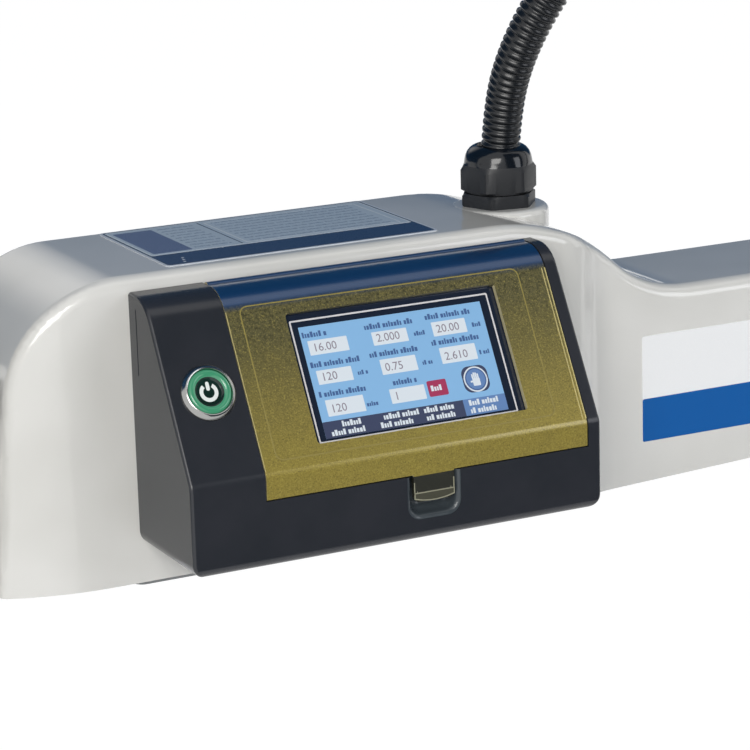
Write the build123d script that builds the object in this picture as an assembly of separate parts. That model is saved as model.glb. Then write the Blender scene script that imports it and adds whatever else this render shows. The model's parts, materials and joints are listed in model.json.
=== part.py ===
"""Arm tapping machine: a column with a level-keeping link arm, a swinging forearm and a tapping head.

Millimetres. Origin at the base plate's underside on the column axis, +Z up. At rest the arms are
straight out along -X and the control panel faces -Y.
"""
import os
from math import acos, asin, cos, pi, radians, sin, sqrt, tan

from build123d import *

# ---- layout of the whole machine ----
LINK_ARM = 560.0            # column axis to elbow axis
FOREARM = 640.0             # elbow axis to spindle axis
PANEL_FROM_SPINDLE = 150.0  # spindle axis to the left side of the panel housing
PANEL_Z = 380.0             # underside of the panel housing above the bench
PIN_OFFSET = 80.0           # link pins from the column axis and from the elbow axis
LINK_LOWER_Z = 246.0        # height of the lower link's pins
LINK_SPACING = 80.0         # lower pins to upper pins
RUN = 0.03                  # radial clearance of a running fit
GAP = 1.0                   # side gap between faces that turn past each other
EDGE = 2.0                  # chamfer on turned and milled edges

ELBOW_X = -LINK_ARM
SPINDLE_X = ELBOW_X - FOREARM
PANEL_X = SPINDLE_X + PANEL_FROM_SPINDLE
LINK_UPPER_Z = LINK_LOWER_Z + LINK_SPACING
HUB_PIN_X = -PIN_OFFSET
KNUCKLE_PIN_X = ELBOW_X + PIN_OFFSET

# ---- base plate and column ----
BASE_SIDE = 200.0
BASE_T = 20.0
BASE_CORNER_R = 16.0
BASE_HOLE_R = 7.0
BASE_HOLE_SPACING = 160.0
FLANGE_R = 72.0
FLANGE_T = 16.0
FLANGE_SCREW_R = 5.0
FLANGE_SCREW_PCD = 122.0
FLANGE_HEAD_R = 8.0
FLANGE_HEAD_T = 10.0
FLANGE_KEY_FLATS = 8.0      # hexagon socket in the screw's head
FLANGE_KEY_DEPTH = 6.0
FLANGE_SCREW_FOOT = 11.0    # the screws end this far above the plate's underside
COLUMN_R = 50.0
COLUMN_TOP = 200.0
COLUMN_BORE_R = 36.0
SWIVEL_SHAFT_R = 20.0
SWIVEL_BEARING_R = 40.0     # outer radius of the column bearings, which is their seat
SWIVEL_BEARING_W = 18.0
SWIVEL_BEARING_LOW = 92.0   # underside of the lower column bearing
SWIVEL_BEARING_DROP = 2.0   # the upper bearing lies this far below the column's top
SWIVEL_SHAFT_FOOT = 16.0    # the shaft runs on this far below the lower bearing
RACE_SHARE = 0.26           # share of a bearing's width of ring that each race takes
SHIELD_DEPTH = 1.0
INLET_Z = 110.0
INLET_BOX = (34.0, 64.0, 52.0)
INLET_OPENING = (28.0, 20.0)
INLET_WALL = 3.0
INLET_CORNER_R = 5.0
INLET_FLANGE = 4.0          # the inlet's flange reaches this far past its opening
INLET_FLANGE_T = 2.0
INLET_SHELL = 2.0
INLET_PINS = ((-7.0, -2.0), (7.0, -2.0), (0.0, 2.0))
INLET_PIN = (2.0, 4.0)
INLET_PIN_SINK = 3.0

# ---- hub and knuckle ----
HUB_R = 52.0
HUB_TOP = 352.0
KNUCKLE_R = 45.0
KNUCKLE_BOTTOM = 218.0
KNUCKLE_TOP = 356.0
CHEEK_T = 14.0
CHEEK_R = 20.0              # round end of a cheek about its pin
LINK_W = 40.0
LINK_H = 26.0
LINK_END_R = 17.0
LINK_POCKET = 11.0          # depth of the pocket in each side of a link
LINK_POCKET_EDGE = 5.0
PIN_R = 8.0
PIN_HEAD_R = 11.0
PIN_HEAD_T = 4.0
BUSH_R = 11.0
OPEN_PLAY = 0.4             # open pivot: radial play of the upper link on the knuckle's pin
HUB_LID_T = 8.0             # metal left over the swivel shaft
POST_FILLET = 4.0
POST_ROOM = 2.0             # a link's fork reaches this close to the round post
STEM_FLOOR = 14.0           # metal left under the elbow shaft in the knuckle
PIN_TAIL = 6.0              # a link pin's length beyond its cheek
CLIP_AT = 1.0               # a pin's clip from the cheek
CLIP_T = 2.0
CLIP_R = 12.0
CLIP_GROOVE_R = 7.0
POCKET_END = 8.0            # a link's pocket starts this far past its round end
POCKET_ROUND = 0.45         # share of the pocket's height in its corners' radius

# ---- gas spring ----
SPRING_FOOT_Z = 276.0       # its pin in the hub
SPRING_EYE_X = 240.0        # its eye on the upper link, from the hub pins
SPRING_EYE_Z = 24.0         # the eye's pin below the upper link's pins
SPRING_EYE_DROP = 1.75      # the eye hangs this far below its pin at rest
SPRING_PIN_R = 4.0
SPRING_EYE_R = 9.0
SPRING_EYE_BORE_R = 6.1     # open pivot: the eye has play about its pin
SPRING_EYE_W = 12.0
SPRING_TUBE_R = 10.0
SPRING_TUBE_BORE_R = 8.0
SPRING_TUBE_L = 150.0
SPRING_TUBE_START = 13.0
SPRING_ROD_R = 4.0
SPRING_PISTON_R = 7.9
SPRING_PISTON_AT = 70.0
SPRING_LUG_T = 6.0
SPRING_TUBE_FLOOR = 4.0
SPRING_TUBE_HEAD = 6.0
SPRING_NECK_R = 5.0
SPRING_PISTON_L = 10.0
SPRING_PIN_HEAD_R = 5.5
SPRING_PIN_HEAD_T = 2.0

# ---- forearm casting, offsets from the panel's left side and underside ----
CAST_W = 104.0
CAST_TOP = 127.2
CAST_BOTTOM = -18.5
CAST_WALL = 6.0
CAST_FILLET = 7.0
CAST_LIP = 15.0             # edges that start below this height stay sharp
END_START = -14.0           # the sides curve in towards the end from here
END_R = 120.0
END_NOSE = -72.0            # past the end face, which cuts the curved sides off
RAMP_R = 56.0               # the top runs down to the end in this arc
RAMP_CENTRE = -3.0
END_FOOT = -66.0            # the end face's foot
REAR_W = 80.0
REAR_TOP = 81.5
REAR_FOOT_START = 262.0     # the underside rises from here
REAR_FOOT_END = -9.0
STEP_START = 192.5          # the top steps down to the rear arm from here in two arcs
STEP_UPPER_R = 112.0
STEP_LOWER_R = 62.7
SHOULDER_X = 228.0          # the sides step in to the rear arm from here
SHOULDER_R = 30.0
END_WALL = 24.0
ELBOW_BOSS_R = 52.0
ELBOW_BOSS_BOTTOM = -22.0
ELBOW_BOSS_TOP = 90.0
ELBOW_BOSS_FILLET = 5.0
PAD_R = 25.0                # round pad under the cable gland
PAD_FILLET = 3.5
ACCESS = (10.0, 214.0, 84.0)
COVER_T = 3.0
COVER_RIM = 10.0
COVER_CORNER_R = 4.0
COVER_LIP_PLAY = 0.4
COVER_LIP_T = 3.6
COVER_LIP_H = 2.5
SCREW_R = 2.0               # screws of the bottom cover and of the panel housing
SCREW_HEAD_R = 3.8
SCREW_HEAD_T = 2.2
SCREW_HEAD_FILLET = 1.2
SCREW_SHY = 0.5             # a screw ends this far short of its hole's end

# ---- elbow ----
ELBOW_SHAFT_R = 17.5
ELBOW_STEM_R = 22.0
ELBOW_BEARING_R = 36.0
ELBOW_BEARING_W = 17.0
ELBOW_BORE_R = 31.0
ELBOW_BEARING_LOW = -18.0
ELBOW_BEARING_HIGH = 60.0
ELBOW_CABLE_R = 8.0
ELBOW_NUT_R = 24.0
ELBOW_NUT_T = 9.0
ELBOW_NUT_SLOT = (5.0, 6.0)
NUT_CLEARANCE = 0.2
ELBOW_CAP_WALL = 4.0
ELBOW_CAP_R = 50.0
ELBOW_CAP_ROUND = 9.0

# ---- panel housing, offsets from the panel's left side, casting front and underside ----
PANEL_L = 211.5
PANEL_D = 62.9
PANEL_H = 120.5
PANEL_FOLD = 43.1
PANEL_TILT = 29.7           # degrees that the sloping front leans back
PANEL_TOP_R = 18.0
PANEL_FOOT_R = 5.0
PANEL_EDGE_R = 1.6
PANEL_WALL = 6.6
PANEL_CORNER_R = 7.0        # lower corners of the housing, seen from the front
PANEL_SCREW_X = 11.0        # its screws from its ends
PANEL_SCREW_LOW = 14.0
PANEL_SCREW_HIGH = 22.0     # below its top
PANEL_POST_R = 4.5
PANEL_POST_L = 18.0
PANEL_SCREW_L = 10.0
RECESS_X0 = 36.7
RECESS_END = 6.7            # from the recess to the housing's right side
RECESS_X1 = PANEL_L - RECESS_END
RECESS_DEPTH = 3.4
RECESS_FOOT = 31.2
SLIT_Y = 7.6
SLIT_Z0 = 83.0
SLIT_Z1 = 114.0
SLIT_DEPTH = 1.2
SLIT_W = 1.0
SCOOP_X = 122.0
SCOOP_W = 28.0
SCOOP_Z0 = 10.0
SCOOP_DEPTH = 10.0
SCOOP_R = 7.0
SCOOP_WALL = 3.0
CABLE_WINDOW = (60.0, 160.0, 30.0, 96.0)

# ---- flip cover ----
COVER_PLAY = 0.5            # gap at the cover's ends and foot
COVER_SINK = 0.3            # the cover lies this far below the housing around it
COVER_SHEET = 2.4
COVER_FOLD_R = 8.0
HINGE_Y = 3.5
HINGE_DROP = 1.5
HINGE_BARREL_R = 2.2
HINGE_PIN_R = 1.0
HINGE_ROOM_R = 2.8
HINGE_PIN_END = 1.4
WINDOW_X = (66.0, 175.4)
WINDOW_S = (11.0, 73.5)
WINDOW_R = 1.5
TAB_W = 21.0
TAB_FOOT = 18.4
TAB_T = 2.2
TAB_CORNER_R = 3.0

# ---- display, in the plane of the sloping front: along the arm, up the slope from the fold ----
DISPLAY_X = (62.0, 179.4)
DISPLAY_S = (7.6, 77.0)
DISPLAY_SINK = 3.3
DISPLAY_DEPTH = 18.0
GLASS_T = 1.4
GLASS_EDGE = 3.0
DISPLAY_PLAY = 0.2

# ---- power button ----
BUTTON_X = 19.6
BUTTON_S = 42.3
BUTTON_BEZEL_R = 13.2
BUTTON_BEZEL_T = 3.0
BUTTON_BEZEL_ROUND = 2.2
BUTTON_CAP_R = 10.3
BUTTON_STEM_R = 8.9
BUTTON_PLAY = 0.15          # radial play of the cap and of its stem
BUTTON_HEAD_T = 2.0
BUTTON_CAP_L = 8.0
BUTTON_CAP_SINK = 0.6       # the cap lies this far below the bezel's rim
BUTTON_CAP_EDGE = 0.4
BUTTON_TRAVEL = 2.5
BUTTON_BODY_R = 11.0
BUTTON_BODY_L = 30.0
BUTTON_WELL = 14.0
BUTTON_BLADE = (0.8, 4.8, 6.0)
BUTTON_BLADE_X = 5.0

# ---- cable glands and conduit ----
GLAND_X = 222.0
GLAND_FLATS = 34.0
GLAND_CORNER_R = 19.4       # the hexagons' corners are turned to this radius
GLAND_TURN = 20.0           # degrees that the flange is turned to
GLAND_NUT_TURN = 12.0       # degrees that the nut is turned to when tight
GLAND_FLANGE_T = 6.5
GLAND_NECK = 0.5            # gap between flange and nut
GLAND_NECK_IN = 2.0
GLAND_NUT_H = 23.0
GLAND_HEX_H = 13.5
GLAND_DOME_R = 5.0
GLAND_THREAD_R = 14.15
GLAND_THREAD_L = 12.0
GLAND_BORE_R = 10.3
GLAND_MOUTH_R = 11.4
CONDUIT_D = 19.6
# Conduit route: along the arm, out from the arm's middle plane, above the casting's top.
CONDUIT_ROUTE = [
    (222.0, 0.0, -13.0),
    (222.0, 0.0, 40.0),
    (224.0, -23.0, 88.8),
    (255.0, -43.0, 140.8),
    (312.0, -44.0, 183.8),
    (383.0, -26.0, 193.8),
    (445.0, -6.0, 161.8),
    (481.0, 4.0, 101.8),
    (490.0, 0.0, 40.0),
    (490.0, 0.0, -13.0),
]
ROUTE_SHARE = 0.45          # share of the shorter run that an arc of the route takes

# ---- labels ----
LABEL_X = (24.2, 166.4)
LABEL_Y = (-41.3, 45.0)
LABEL_T = 0.4
LABEL_CORNER_R = 1.0
PLATE_X = (280.5, 420.0)
PLATE_Z = (3.6, 58.6)
PLATE_T = 0.6

# ---- electronics ----
BOARD = (150.0, 76.0, 1.6)
BOARD_X = 24.0
STANDOFF_R = 3.0
STANDOFF_H = 9.0
STANDOFF_INSET = 6.0
DRIVE = (120.0, 62.0, 34.0)
DRIVE_FINS = 9
FIN_T = 2.0
FIN_H = 12.0
TERMINAL = (62.0, 14.0, 16.0)
TERMINAL_WAYS = 6
TERMINAL_BORE = (2.6, 6.0)
CAPACITORS = 3
CAPACITOR = (6.0, 18.0)
CAPACITOR_AT = (24.0, -22.0)
CAPACITOR_PITCH = 16.0
RELAY = ((78.0, 106.0), (-30.0, -14.0), 15.0)
CHIP = ((60.0, 84.0), (2.0, 26.0), 2.0)
PLUGS = 4
PLUG = (22.0, 7.0, 9.0)
PLUG_AT = (12.0, 29.0)
PLUG_PITCH = 32.0
DRIVE_AT = 8.0              # the drive from the board's left end
DRIVE_SHIFT = 4.0           # out towards the casting's front
DRIVE_FOOT = 2.0
DRIVE_CLEARANCE = 6.0       # from the drive to the terminal block

# ---- tapping head, offsets from the spindle axis and from the panel's underside ----
TILT_Z = 30.0
TILT_SHAFT_R = 15.0
TILT_BUSH_R = 18.0
TILT_BUSH_L = 11.0
TILT_BOSS_R = 31.0
TILT_BOSS_END = -92.0
TILT_NUT_R = 22.0
TILT_NUT_T = 8.0
TILT_NUT_SLOT = 5.0
TILT_BLEND = 5.0            # fillet between the boss and the casting's end
TILT_SEAT = 2.0             # the disc is let onto the shaft this deep
DISC_R = 38.0
DISC_T = 14.0
WEB_W = 52.0
WEB_H = 50.0
BARREL_R = 34.0
BARREL_BOTTOM = -40.0
BARREL_TOP = 45.0
BARREL_BORE_R = 26.0
MOTOR_SEAT = 66.0
MOTOR_SEAT_T = 10.0
MOTOR_SIDE = 60.0
MOTOR_L = 92.0
MOTOR_CORNER_R = 6.0
MOTOR_CAP_L = 34.0
MOTOR_WALL = 4.0
MOTOR_SCREW_R = 2.5
MOTOR_SCREW_SPACING = 50.0
STATOR_R = 25.0
STATOR_BORE_R = 17.6
ROTOR_R = 17.0
ROTOR_SHAFT_R = 7.0
MOTOR_BEARING_R = 13.0
MOTOR_BEARING_W = 8.0
MOTOR_END_T = 10.0
MOTOR_PLUG = (26.0, 18.0, 20.0)
MOTOR_PLUG_Z = 6.0
MOTOR_PLUG_ROUND = 4.0
MOTOR_SOCKET_Y = 10.0
MOTOR_SOCKET = (7.5, 12.0)
MOTOR_SOCKET_BORE = (5.5, 9.0)
MOTOR_PIN = (0.8, 6.0)
MOTOR_PIN_PCD = 5.6
MOTOR_CAP_ROUND = 3.0
MOTOR_SCREW_GRIP = 7.0      # the motor's screws go this deep into the bracket
MOTOR_SCREW_HEAD_L = 4.0    # and this far into the end cap
SHAFT_PLAY = 2.0            # room around the rotor's shaft in the motor's ends
STATOR_LOW = 10.0           # the stator above the lower end and below the case's top
STATOR_HIGH = 8.0
WINDING_LOW = 6.0
WINDING_HIGH = 5.0
WINDING_IN = 1.5
ROTOR_STUB = 11.0           # the rotor's shaft below the motor
ROTOR_TAIL = 18.0           # and above its case
ENCODER = (16.0, 14.0, 2.0)
COUPLING_R = 15.0
COUPLING_L = 14.0
COUPLING_SLIT = 1.2
SPINDLE_R = 12.5
SPINDLE_BEARING_W = 12.0
SPINDLE_DROP = 6.0          # the spindle's shoulder below the barrel's top
COVER_RING_T = 6.0
COVER_RING_EDGE = 1.5
COVER_RING_PLAY = 2.0
CHUCK_R = 19.0
CHUCK_TOP = -52.0
CHUCK_BOTTOM = -122.0
SOCKET_R = 9.5
SOCKET_DEPTH = 26.0
BALL_R = 2.5
BALL_PLAY = 0.05
BALL_STAND = 0.2            # the balls stand this far clear of the socket
BALL_Z = 10.0               # the detent balls above the chuck's mouth
SLEEVE_R = 24.0
SLEEVE_L = 30.0
SLEEVE_TRAVEL = 6.0
SLEEVE_STOP_T = 3.0
SLEEVE_STOP_OUT = 2.0
SLEEVE_EDGE = 1.2
COLLAR_GAP = 1.0            # over the pushed-up sleeve
GRIP_BAR_R = 8.0
GRIP_BAR_X = -46.0          # handle bar in front of the spindle axis
GRIP_BAR_HALF = 135.0
GRIP_R = 15.0
GRIP_START = 42.0
LUG_W = 30.0
LUG_R = 15.0
LUG_DROP = 4.0              # from the barrel's foot to the lug's underside
GRIP_ROUND = 4.0
GRIP_END_T = 3.0
BAR_EDGE = 1.0
DISC_EDGE = 3.0
WEB_ROUND = 9.0
POD = (24.0, 68.0, 24.0)
POD_WALL = 2.5
POD_Z = 17.0
POD_BUTTON_R = 8.0
POD_BUTTON_Y = 18.0
POD_BUTTON_PLAY = 0.2
POD_BUTTON_OUT = 6.0
POD_BUTTON_ROUND = 1.5
POD_FLANGE = 1.5            # the button's flange beyond its cap
POD_FLANGE_T = 2.0
POD_CORNER_R = 5.0
POD_FRONT_ROUND = 2.0
POD_LUG_OUT = 2.0

# ---- lock levers ----
LEVER_STUD_R = 5.0
LEVER_HUB_R = 8.5
LEVER_HUB_H = 20.0
LEVER_ARM_L = 58.0
LEVER_ARM_R = 4.5
LEVER_KNOB_R = 8.0
LEVER_TIP_GAP = 0.4
LEVER_LIFT = 0.5            # the hub stands this far off its seat
LEVER_ROUND = 3.0
LEVER_RISE = 0.28           # rise of the arm over its run
COLUMN_LOCK_Z = 146.0
ELBOW_LOCK_Z = 28.0
TILT_LOCK_X = -74.0

CAST_MID_Y = -CAST_W / 2    # row Y of the casting's front face, which the panel sits on
FRONT_Y = CAST_MID_Y
BOX_TOP_Z = PANEL_Z + CAST_TOP
PLANE_TILT = radians(PANEL_TILT)


def at(x, z):
    """Row X and Z of a place given from the panel's left side and underside."""
    return PANEL_X + x, PANEL_Z + z


def span(low, high):
    """A box from its lowest to its highest corner."""
    size = [h - l for l, h in zip(low, high)]
    middle = [(h + l) / 2 for l, h in zip(low, high)]
    return Pos(*middle) * Box(*size)


def rod_z(x, y, z0, z1, r):
    """An upright cylinder."""
    return Pos(x, y, (z0 + z1) / 2) * Cylinder(r, z1 - z0)


def rod_x(x0, x1, y, z, r):
    """A cylinder along X."""
    return Pos((x0 + x1) / 2, y, z) * Rot(0, 90, 0) * Cylinder(r, x1 - x0)


def rod_y(x, y0, y1, z, r):
    """A cylinder along Y."""
    return Pos(x, (y0 + y1) / 2, z) * Rot(90, 0, 0) * Cylinder(r, y1 - y0)


def group(solids):
    """Several separate solids kept as one node."""
    return Compound(children=[s for s in solids])


def hex_z(x, y, z0, z1, flats):
    """An upright hexagonal prism."""
    side = RegularPolygon(flats / 2, 6, major_radius=False)
    return Pos(x, y, z0) * extrude(side, z1 - z0)


# ---------------------------------------------------------------- base and column
def base_plate():
    plate = span((-BASE_SIDE / 2, -BASE_SIDE / 2, 0), (BASE_SIDE / 2, BASE_SIDE / 2, BASE_T))
    plate = fillet(plate.edges().filter_by(Axis.Z), BASE_CORNER_R)
    plate = chamfer(plate.faces().sort_by(Axis.Z)[-1].edges(), EDGE)
    for hole in GridLocations(BASE_HOLE_SPACING, BASE_HOLE_SPACING, 2, 2):
        plate -= hole * Pos(0, 0, BASE_T / 2) * Cylinder(BASE_HOLE_R, BASE_T * 2)
    for hole in flange_screw_places():
        plate -= hole * Pos(0, 0, BASE_T) * Cylinder(FLANGE_SCREW_R, BASE_T)
    return plate


def flange_screw_places():
    return PolarLocations(FLANGE_SCREW_PCD / 2, 4, start_angle=45)


def column_post():
    flange_top = BASE_T + FLANGE_T
    post = rod_z(0, 0, BASE_T, flange_top, FLANGE_R)
    post = chamfer(post.faces().sort_by(Axis.Z)[-1].edges(), EDGE)
    post += rod_z(0, 0, flange_top, COLUMN_TOP, COLUMN_R)
    post -= rod_z(0, 0, BASE_T, SWIVEL_BEARING_LOW, COLUMN_BORE_R)
    post -= rod_z(0, 0, SWIVEL_BEARING_LOW, COLUMN_TOP, SWIVEL_BEARING_R)
    for hole in flange_screw_places():
        post -= hole * Pos(0, 0, flange_top) * Cylinder(FLANGE_SCREW_R, 3 * FLANGE_T)
    post -= rod_y(0, -2 * COLUMN_R, 0, COLUMN_LOCK_Z, LEVER_STUD_R + RUN)
    return post


def column_screws():
    head_z = BASE_T + FLANGE_T
    screws = []
    for place in flange_screw_places():
        x, y = place.position.X, place.position.Y
        screw = rod_z(x, y, FLANGE_SCREW_FOOT, head_z, FLANGE_SCREW_R)
        top = head_z + FLANGE_HEAD_T
        screw += rod_z(x, y, head_z, top, FLANGE_HEAD_R)
        screw -= hex_z(x, y, top - FLANGE_KEY_DEPTH, top + FLANGE_KEY_DEPTH, FLANGE_KEY_FLATS)
        screws.append(screw)
    return group(screws)


def bearing_z(x, y, z0, width, r_out, r_in):
    """A shielded ball bearing as one ring, its shields set back between its races."""
    ring = rod_z(x, y, z0, z0 + width, r_out) - rod_z(x, y, z0, z0 + width, r_in)
    race = (r_out - r_in) * RACE_SHARE
    for z in (z0, z0 + width):
        low, high = z - SHIELD_DEPTH, z + SHIELD_DEPTH
        ring -= rod_z(x, y, low, high, r_out - race) - rod_z(x, y, low, high, r_in + race)
    return ring


def column_bearings():
    r_in = SWIVEL_SHAFT_R + RUN
    high = COLUMN_TOP - SWIVEL_BEARING_W - SWIVEL_BEARING_DROP
    return group([
        bearing_z(0, 0, SWIVEL_BEARING_LOW, SWIVEL_BEARING_W, SWIVEL_BEARING_R, r_in),
        bearing_z(0, 0, high, SWIVEL_BEARING_W, SWIVEL_BEARING_R, r_in),
    ])


def inlet_box():
    """A junction box on the column's back, with a hole for the mains inlet."""
    depth, width, height = INLET_BOX
    x0 = sqrt(COLUMN_R ** 2 - (width / 2) ** 2)
    x1 = COLUMN_R + depth
    box = span((x0, -width / 2, INLET_Z - height / 2), (x1, width / 2, INLET_Z + height / 2))
    box = fillet(box.edges().filter_by(Axis.Z).group_by(Axis.X)[-1], INLET_CORNER_R)
    box -= rod_z(0, 0, 0, COLUMN_TOP, COLUMN_R)
    inside = span((COLUMN_R + INLET_WALL, -width / 2 + INLET_WALL, INLET_Z - height / 2 + INLET_WALL),
                  (x1 - INLET_WALL, width / 2 - INLET_WALL, INLET_Z + height / 2 - INLET_WALL))
    box -= inside
    open_y, open_z = INLET_OPENING
    box -= span((x1 - INLET_WALL - 1, -open_y / 2, INLET_Z - open_z / 2),
                (x1 + 1, open_y / 2, INLET_Z + open_z / 2))
    return box


def appliance_inlet():
    """A three-pin appliance inlet in the junction box's back wall."""
    open_y, open_z = INLET_OPENING
    half_y, half_z = open_y / 2, open_z / 2
    face = COLUMN_R + INLET_BOX[0]
    x0 = face - (INLET_BOX[0] - 2 * INLET_WALL)
    body = span((x0, -half_y, INLET_Z - half_z), (face, half_y, INLET_Z + half_z))
    body += span((face, -half_y - INLET_FLANGE, INLET_Z - half_z - INLET_FLANGE),
                 (face + INLET_FLANGE_T, half_y + INLET_FLANGE, INLET_Z + half_z + INLET_FLANGE))
    body -= span((x0 + 2 * INLET_SHELL, -half_y + INLET_SHELL, INLET_Z - half_z + INLET_SHELL),
                 (face + 2 * INLET_FLANGE_T, half_y - INLET_SHELL, INLET_Z + half_z - INLET_SHELL))
    wide, high = INLET_PIN
    for y, z in INLET_PINS:
        body += span((x0 + INLET_SHELL, y - wide / 2, INLET_Z + z - high / 2),
                     (face - INLET_PIN_SINK, y + wide / 2, INLET_Z + z + high / 2))
    return body


def mains_inlet():
    return group([inlet_box(), appliance_inlet()])


# ---------------------------------------------------------------- hub, knuckle and links
def cheeks(centre_x, pin_x, z0, z1):
    """The two side plates of a clevis, from its round post out past the link pins."""
    inner = LINK_W / 2 + GAP
    plates = None
    for side in (-1, 1):
        y0, y1 = sorted((side * inner, side * (inner + CHEEK_T)))
        x0, x1 = sorted((centre_x, pin_x))
        plate = span((x0, y0, z0), (x1, y1, z1))
        for z in (LINK_LOWER_Z, LINK_UPPER_Z):
            plate += rod_y(pin_x, y0, y1, z, CHEEK_R)
        reach = CHEEK_R * (1 if pin_x > centre_x else -1)
        xa, xb = sorted((pin_x, pin_x + reach))
        plate += span((xa, y0, LINK_LOWER_Z), (xb, y1, LINK_UPPER_Z))
        plates = plate if plates is None else plates + plate
    return plates


def pin_bores(body, pin_x):
    for z in (LINK_LOWER_Z, LINK_UPPER_Z):
        body -= rod_y(pin_x, -HUB_R, HUB_R, z, PIN_R)
    return body


def clevis_half():
    """Half the width over a clevis's cheeks."""
    return LINK_W / 2 + GAP + CHEEK_T


def swivel_hub():
    bottom = COLUMN_TOP + GAP
    post = rod_z(0, 0, bottom, HUB_TOP, HUB_R)
    post = fillet(post.edges().group_by(Axis.Z)[-1], POST_FILLET)
    hub = post + cheeks(0, HUB_PIN_X, LINK_LOWER_Z - CHEEK_R, LINK_UPPER_Z + CHEEK_R)
    room = HUB_R + POST_ROOM
    gap = span((-PIN_OFFSET - 2 * CHEEK_R, -LINK_W / 2 - GAP, bottom - 1),
               (-room, LINK_W / 2 + GAP, HUB_TOP + 1))
    hub -= gap
    hub = pin_bores(hub, HUB_PIN_X)
    hub -= rod_y(HUB_PIN_X, -HUB_R, HUB_R, SPRING_FOOT_Z, SPRING_PIN_R)
    return hub - rod_z(0, 0, bottom, HUB_TOP - HUB_LID_T, SWIVEL_SHAFT_R)


def swivel_shaft():
    shaft = rod_z(0, 0, SWIVEL_BEARING_LOW - SWIVEL_SHAFT_FOOT, HUB_TOP - HUB_LID_T, SWIVEL_SHAFT_R)
    shaft = chamfer(shaft.edges().group_by(Axis.Z)[0], EDGE)
    return shaft - rod_z(0, 0, 0, HUB_TOP - 2 * HUB_LID_T, ELBOW_CABLE_R)


def knuckle():
    post = rod_z(ELBOW_X, 0, KNUCKLE_BOTTOM, KNUCKLE_TOP, KNUCKLE_R)
    post = fillet(post.edges().group_by(Axis.Z)[0], POST_FILLET)
    block = post + cheeks(ELBOW_X, KNUCKLE_PIN_X, LINK_LOWER_Z - CHEEK_R, LINK_UPPER_Z + CHEEK_R)
    room = KNUCKLE_R + POST_ROOM
    block -= span((ELBOW_X + room, -LINK_W / 2 - GAP, KNUCKLE_BOTTOM - 1),
                  (KNUCKLE_PIN_X + 2 * CHEEK_R, LINK_W / 2 + GAP, KNUCKLE_TOP + 1))
    block = pin_bores(block, KNUCKLE_PIN_X)
    return block - rod_z(ELBOW_X, 0, KNUCKLE_BOTTOM + STEM_FLOOR, KNUCKLE_TOP, ELBOW_STEM_R)


def link_pin(pin_x, z):
    """A headed pin through a clevis, and the clip in the groove at its tail."""
    half = clevis_half()
    pin = rod_y(pin_x, -half, half + PIN_TAIL, z, PIN_R)
    pin += rod_y(pin_x, -half - PIN_HEAD_T, -half, z, PIN_HEAD_R)
    y0 = half + CLIP_AT
    y1 = y0 + CLIP_T
    core = rod_y(pin_x, half, y1 + CLIP_T, z, CLIP_GROOVE_R)
    clip = rod_y(pin_x, y0, y1, z, CLIP_R) - core
    return [pin - clip, clip]


def hub_pins():
    """The hub's three pins: the two links' and the gas spring's."""
    half = clevis_half()
    foot = rod_y(HUB_PIN_X, -half, half, SPRING_FOOT_Z, SPRING_PIN_R)
    return group(link_pin(HUB_PIN_X, LINK_LOWER_Z) + link_pin(HUB_PIN_X, LINK_UPPER_Z) + [foot])


def knuckle_pins():
    return group(link_pin(KNUCKLE_PIN_X, LINK_LOWER_Z) + link_pin(KNUCKLE_PIN_X, LINK_UPPER_Z))


def link_bar(z):
    """A link: a bar with round ends, pocketed on both sides to an I section."""
    bar = span((KNUCKLE_PIN_X, -LINK_W / 2, z - LINK_H / 2), (HUB_PIN_X, LINK_W / 2, z + LINK_H / 2))
    pocket_x0 = KNUCKLE_PIN_X + LINK_END_R + POCKET_END
    pocket_x1 = HUB_PIN_X - LINK_END_R - POCKET_END
    pocket_h = LINK_H - 2 * LINK_POCKET_EDGE
    outline = Rectangle(pocket_x1 - pocket_x0, pocket_h)
    outline = fillet(outline.vertices(), pocket_h * POCKET_ROUND)
    for side in (-1, 1):
        y = side * (LINK_W / 2 - LINK_POCKET)
        place = Plane(origin=((pocket_x0 + pocket_x1) / 2, y, z), x_dir=(1, 0, 0), z_dir=(0, side, 0))
        bar -= extrude(place * outline, LINK_POCKET + 1)
    for x in (KNUCKLE_PIN_X, HUB_PIN_X):
        bar += rod_y(x, -LINK_W / 2, LINK_W / 2, z, LINK_END_R)
    for x in (KNUCKLE_PIN_X, HUB_PIN_X):
        bar -= rod_y(x, -LINK_W, LINK_W, z, BUSH_R)
    return bar


def link_bush(x, z, play):
    bush = rod_y(x, -LINK_W / 2, LINK_W / 2, z, BUSH_R)
    return bush - rod_y(x, -LINK_W, LINK_W, z, PIN_R + play)


def lower_link_bushes():
    return group([link_bush(x, LINK_LOWER_Z, RUN) for x in (KNUCKLE_PIN_X, HUB_PIN_X)])


def upper_link_fittings():
    """The upper link's two bushes and the pin that the gas spring's eye hangs on."""
    open_bush = link_bush(KNUCKLE_PIN_X, LINK_UPPER_Z, OPEN_PLAY)
    return group([open_bush, link_bush(HUB_PIN_X, LINK_UPPER_Z, RUN), spring_top_pin()])


def lower_link():
    return link_bar(LINK_LOWER_Z)


def spring_eye_pin():
    """Row X and Z of the pin that the gas spring's eye hangs on."""
    return HUB_PIN_X - SPRING_EYE_X, LINK_UPPER_Z - SPRING_EYE_Z


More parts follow.
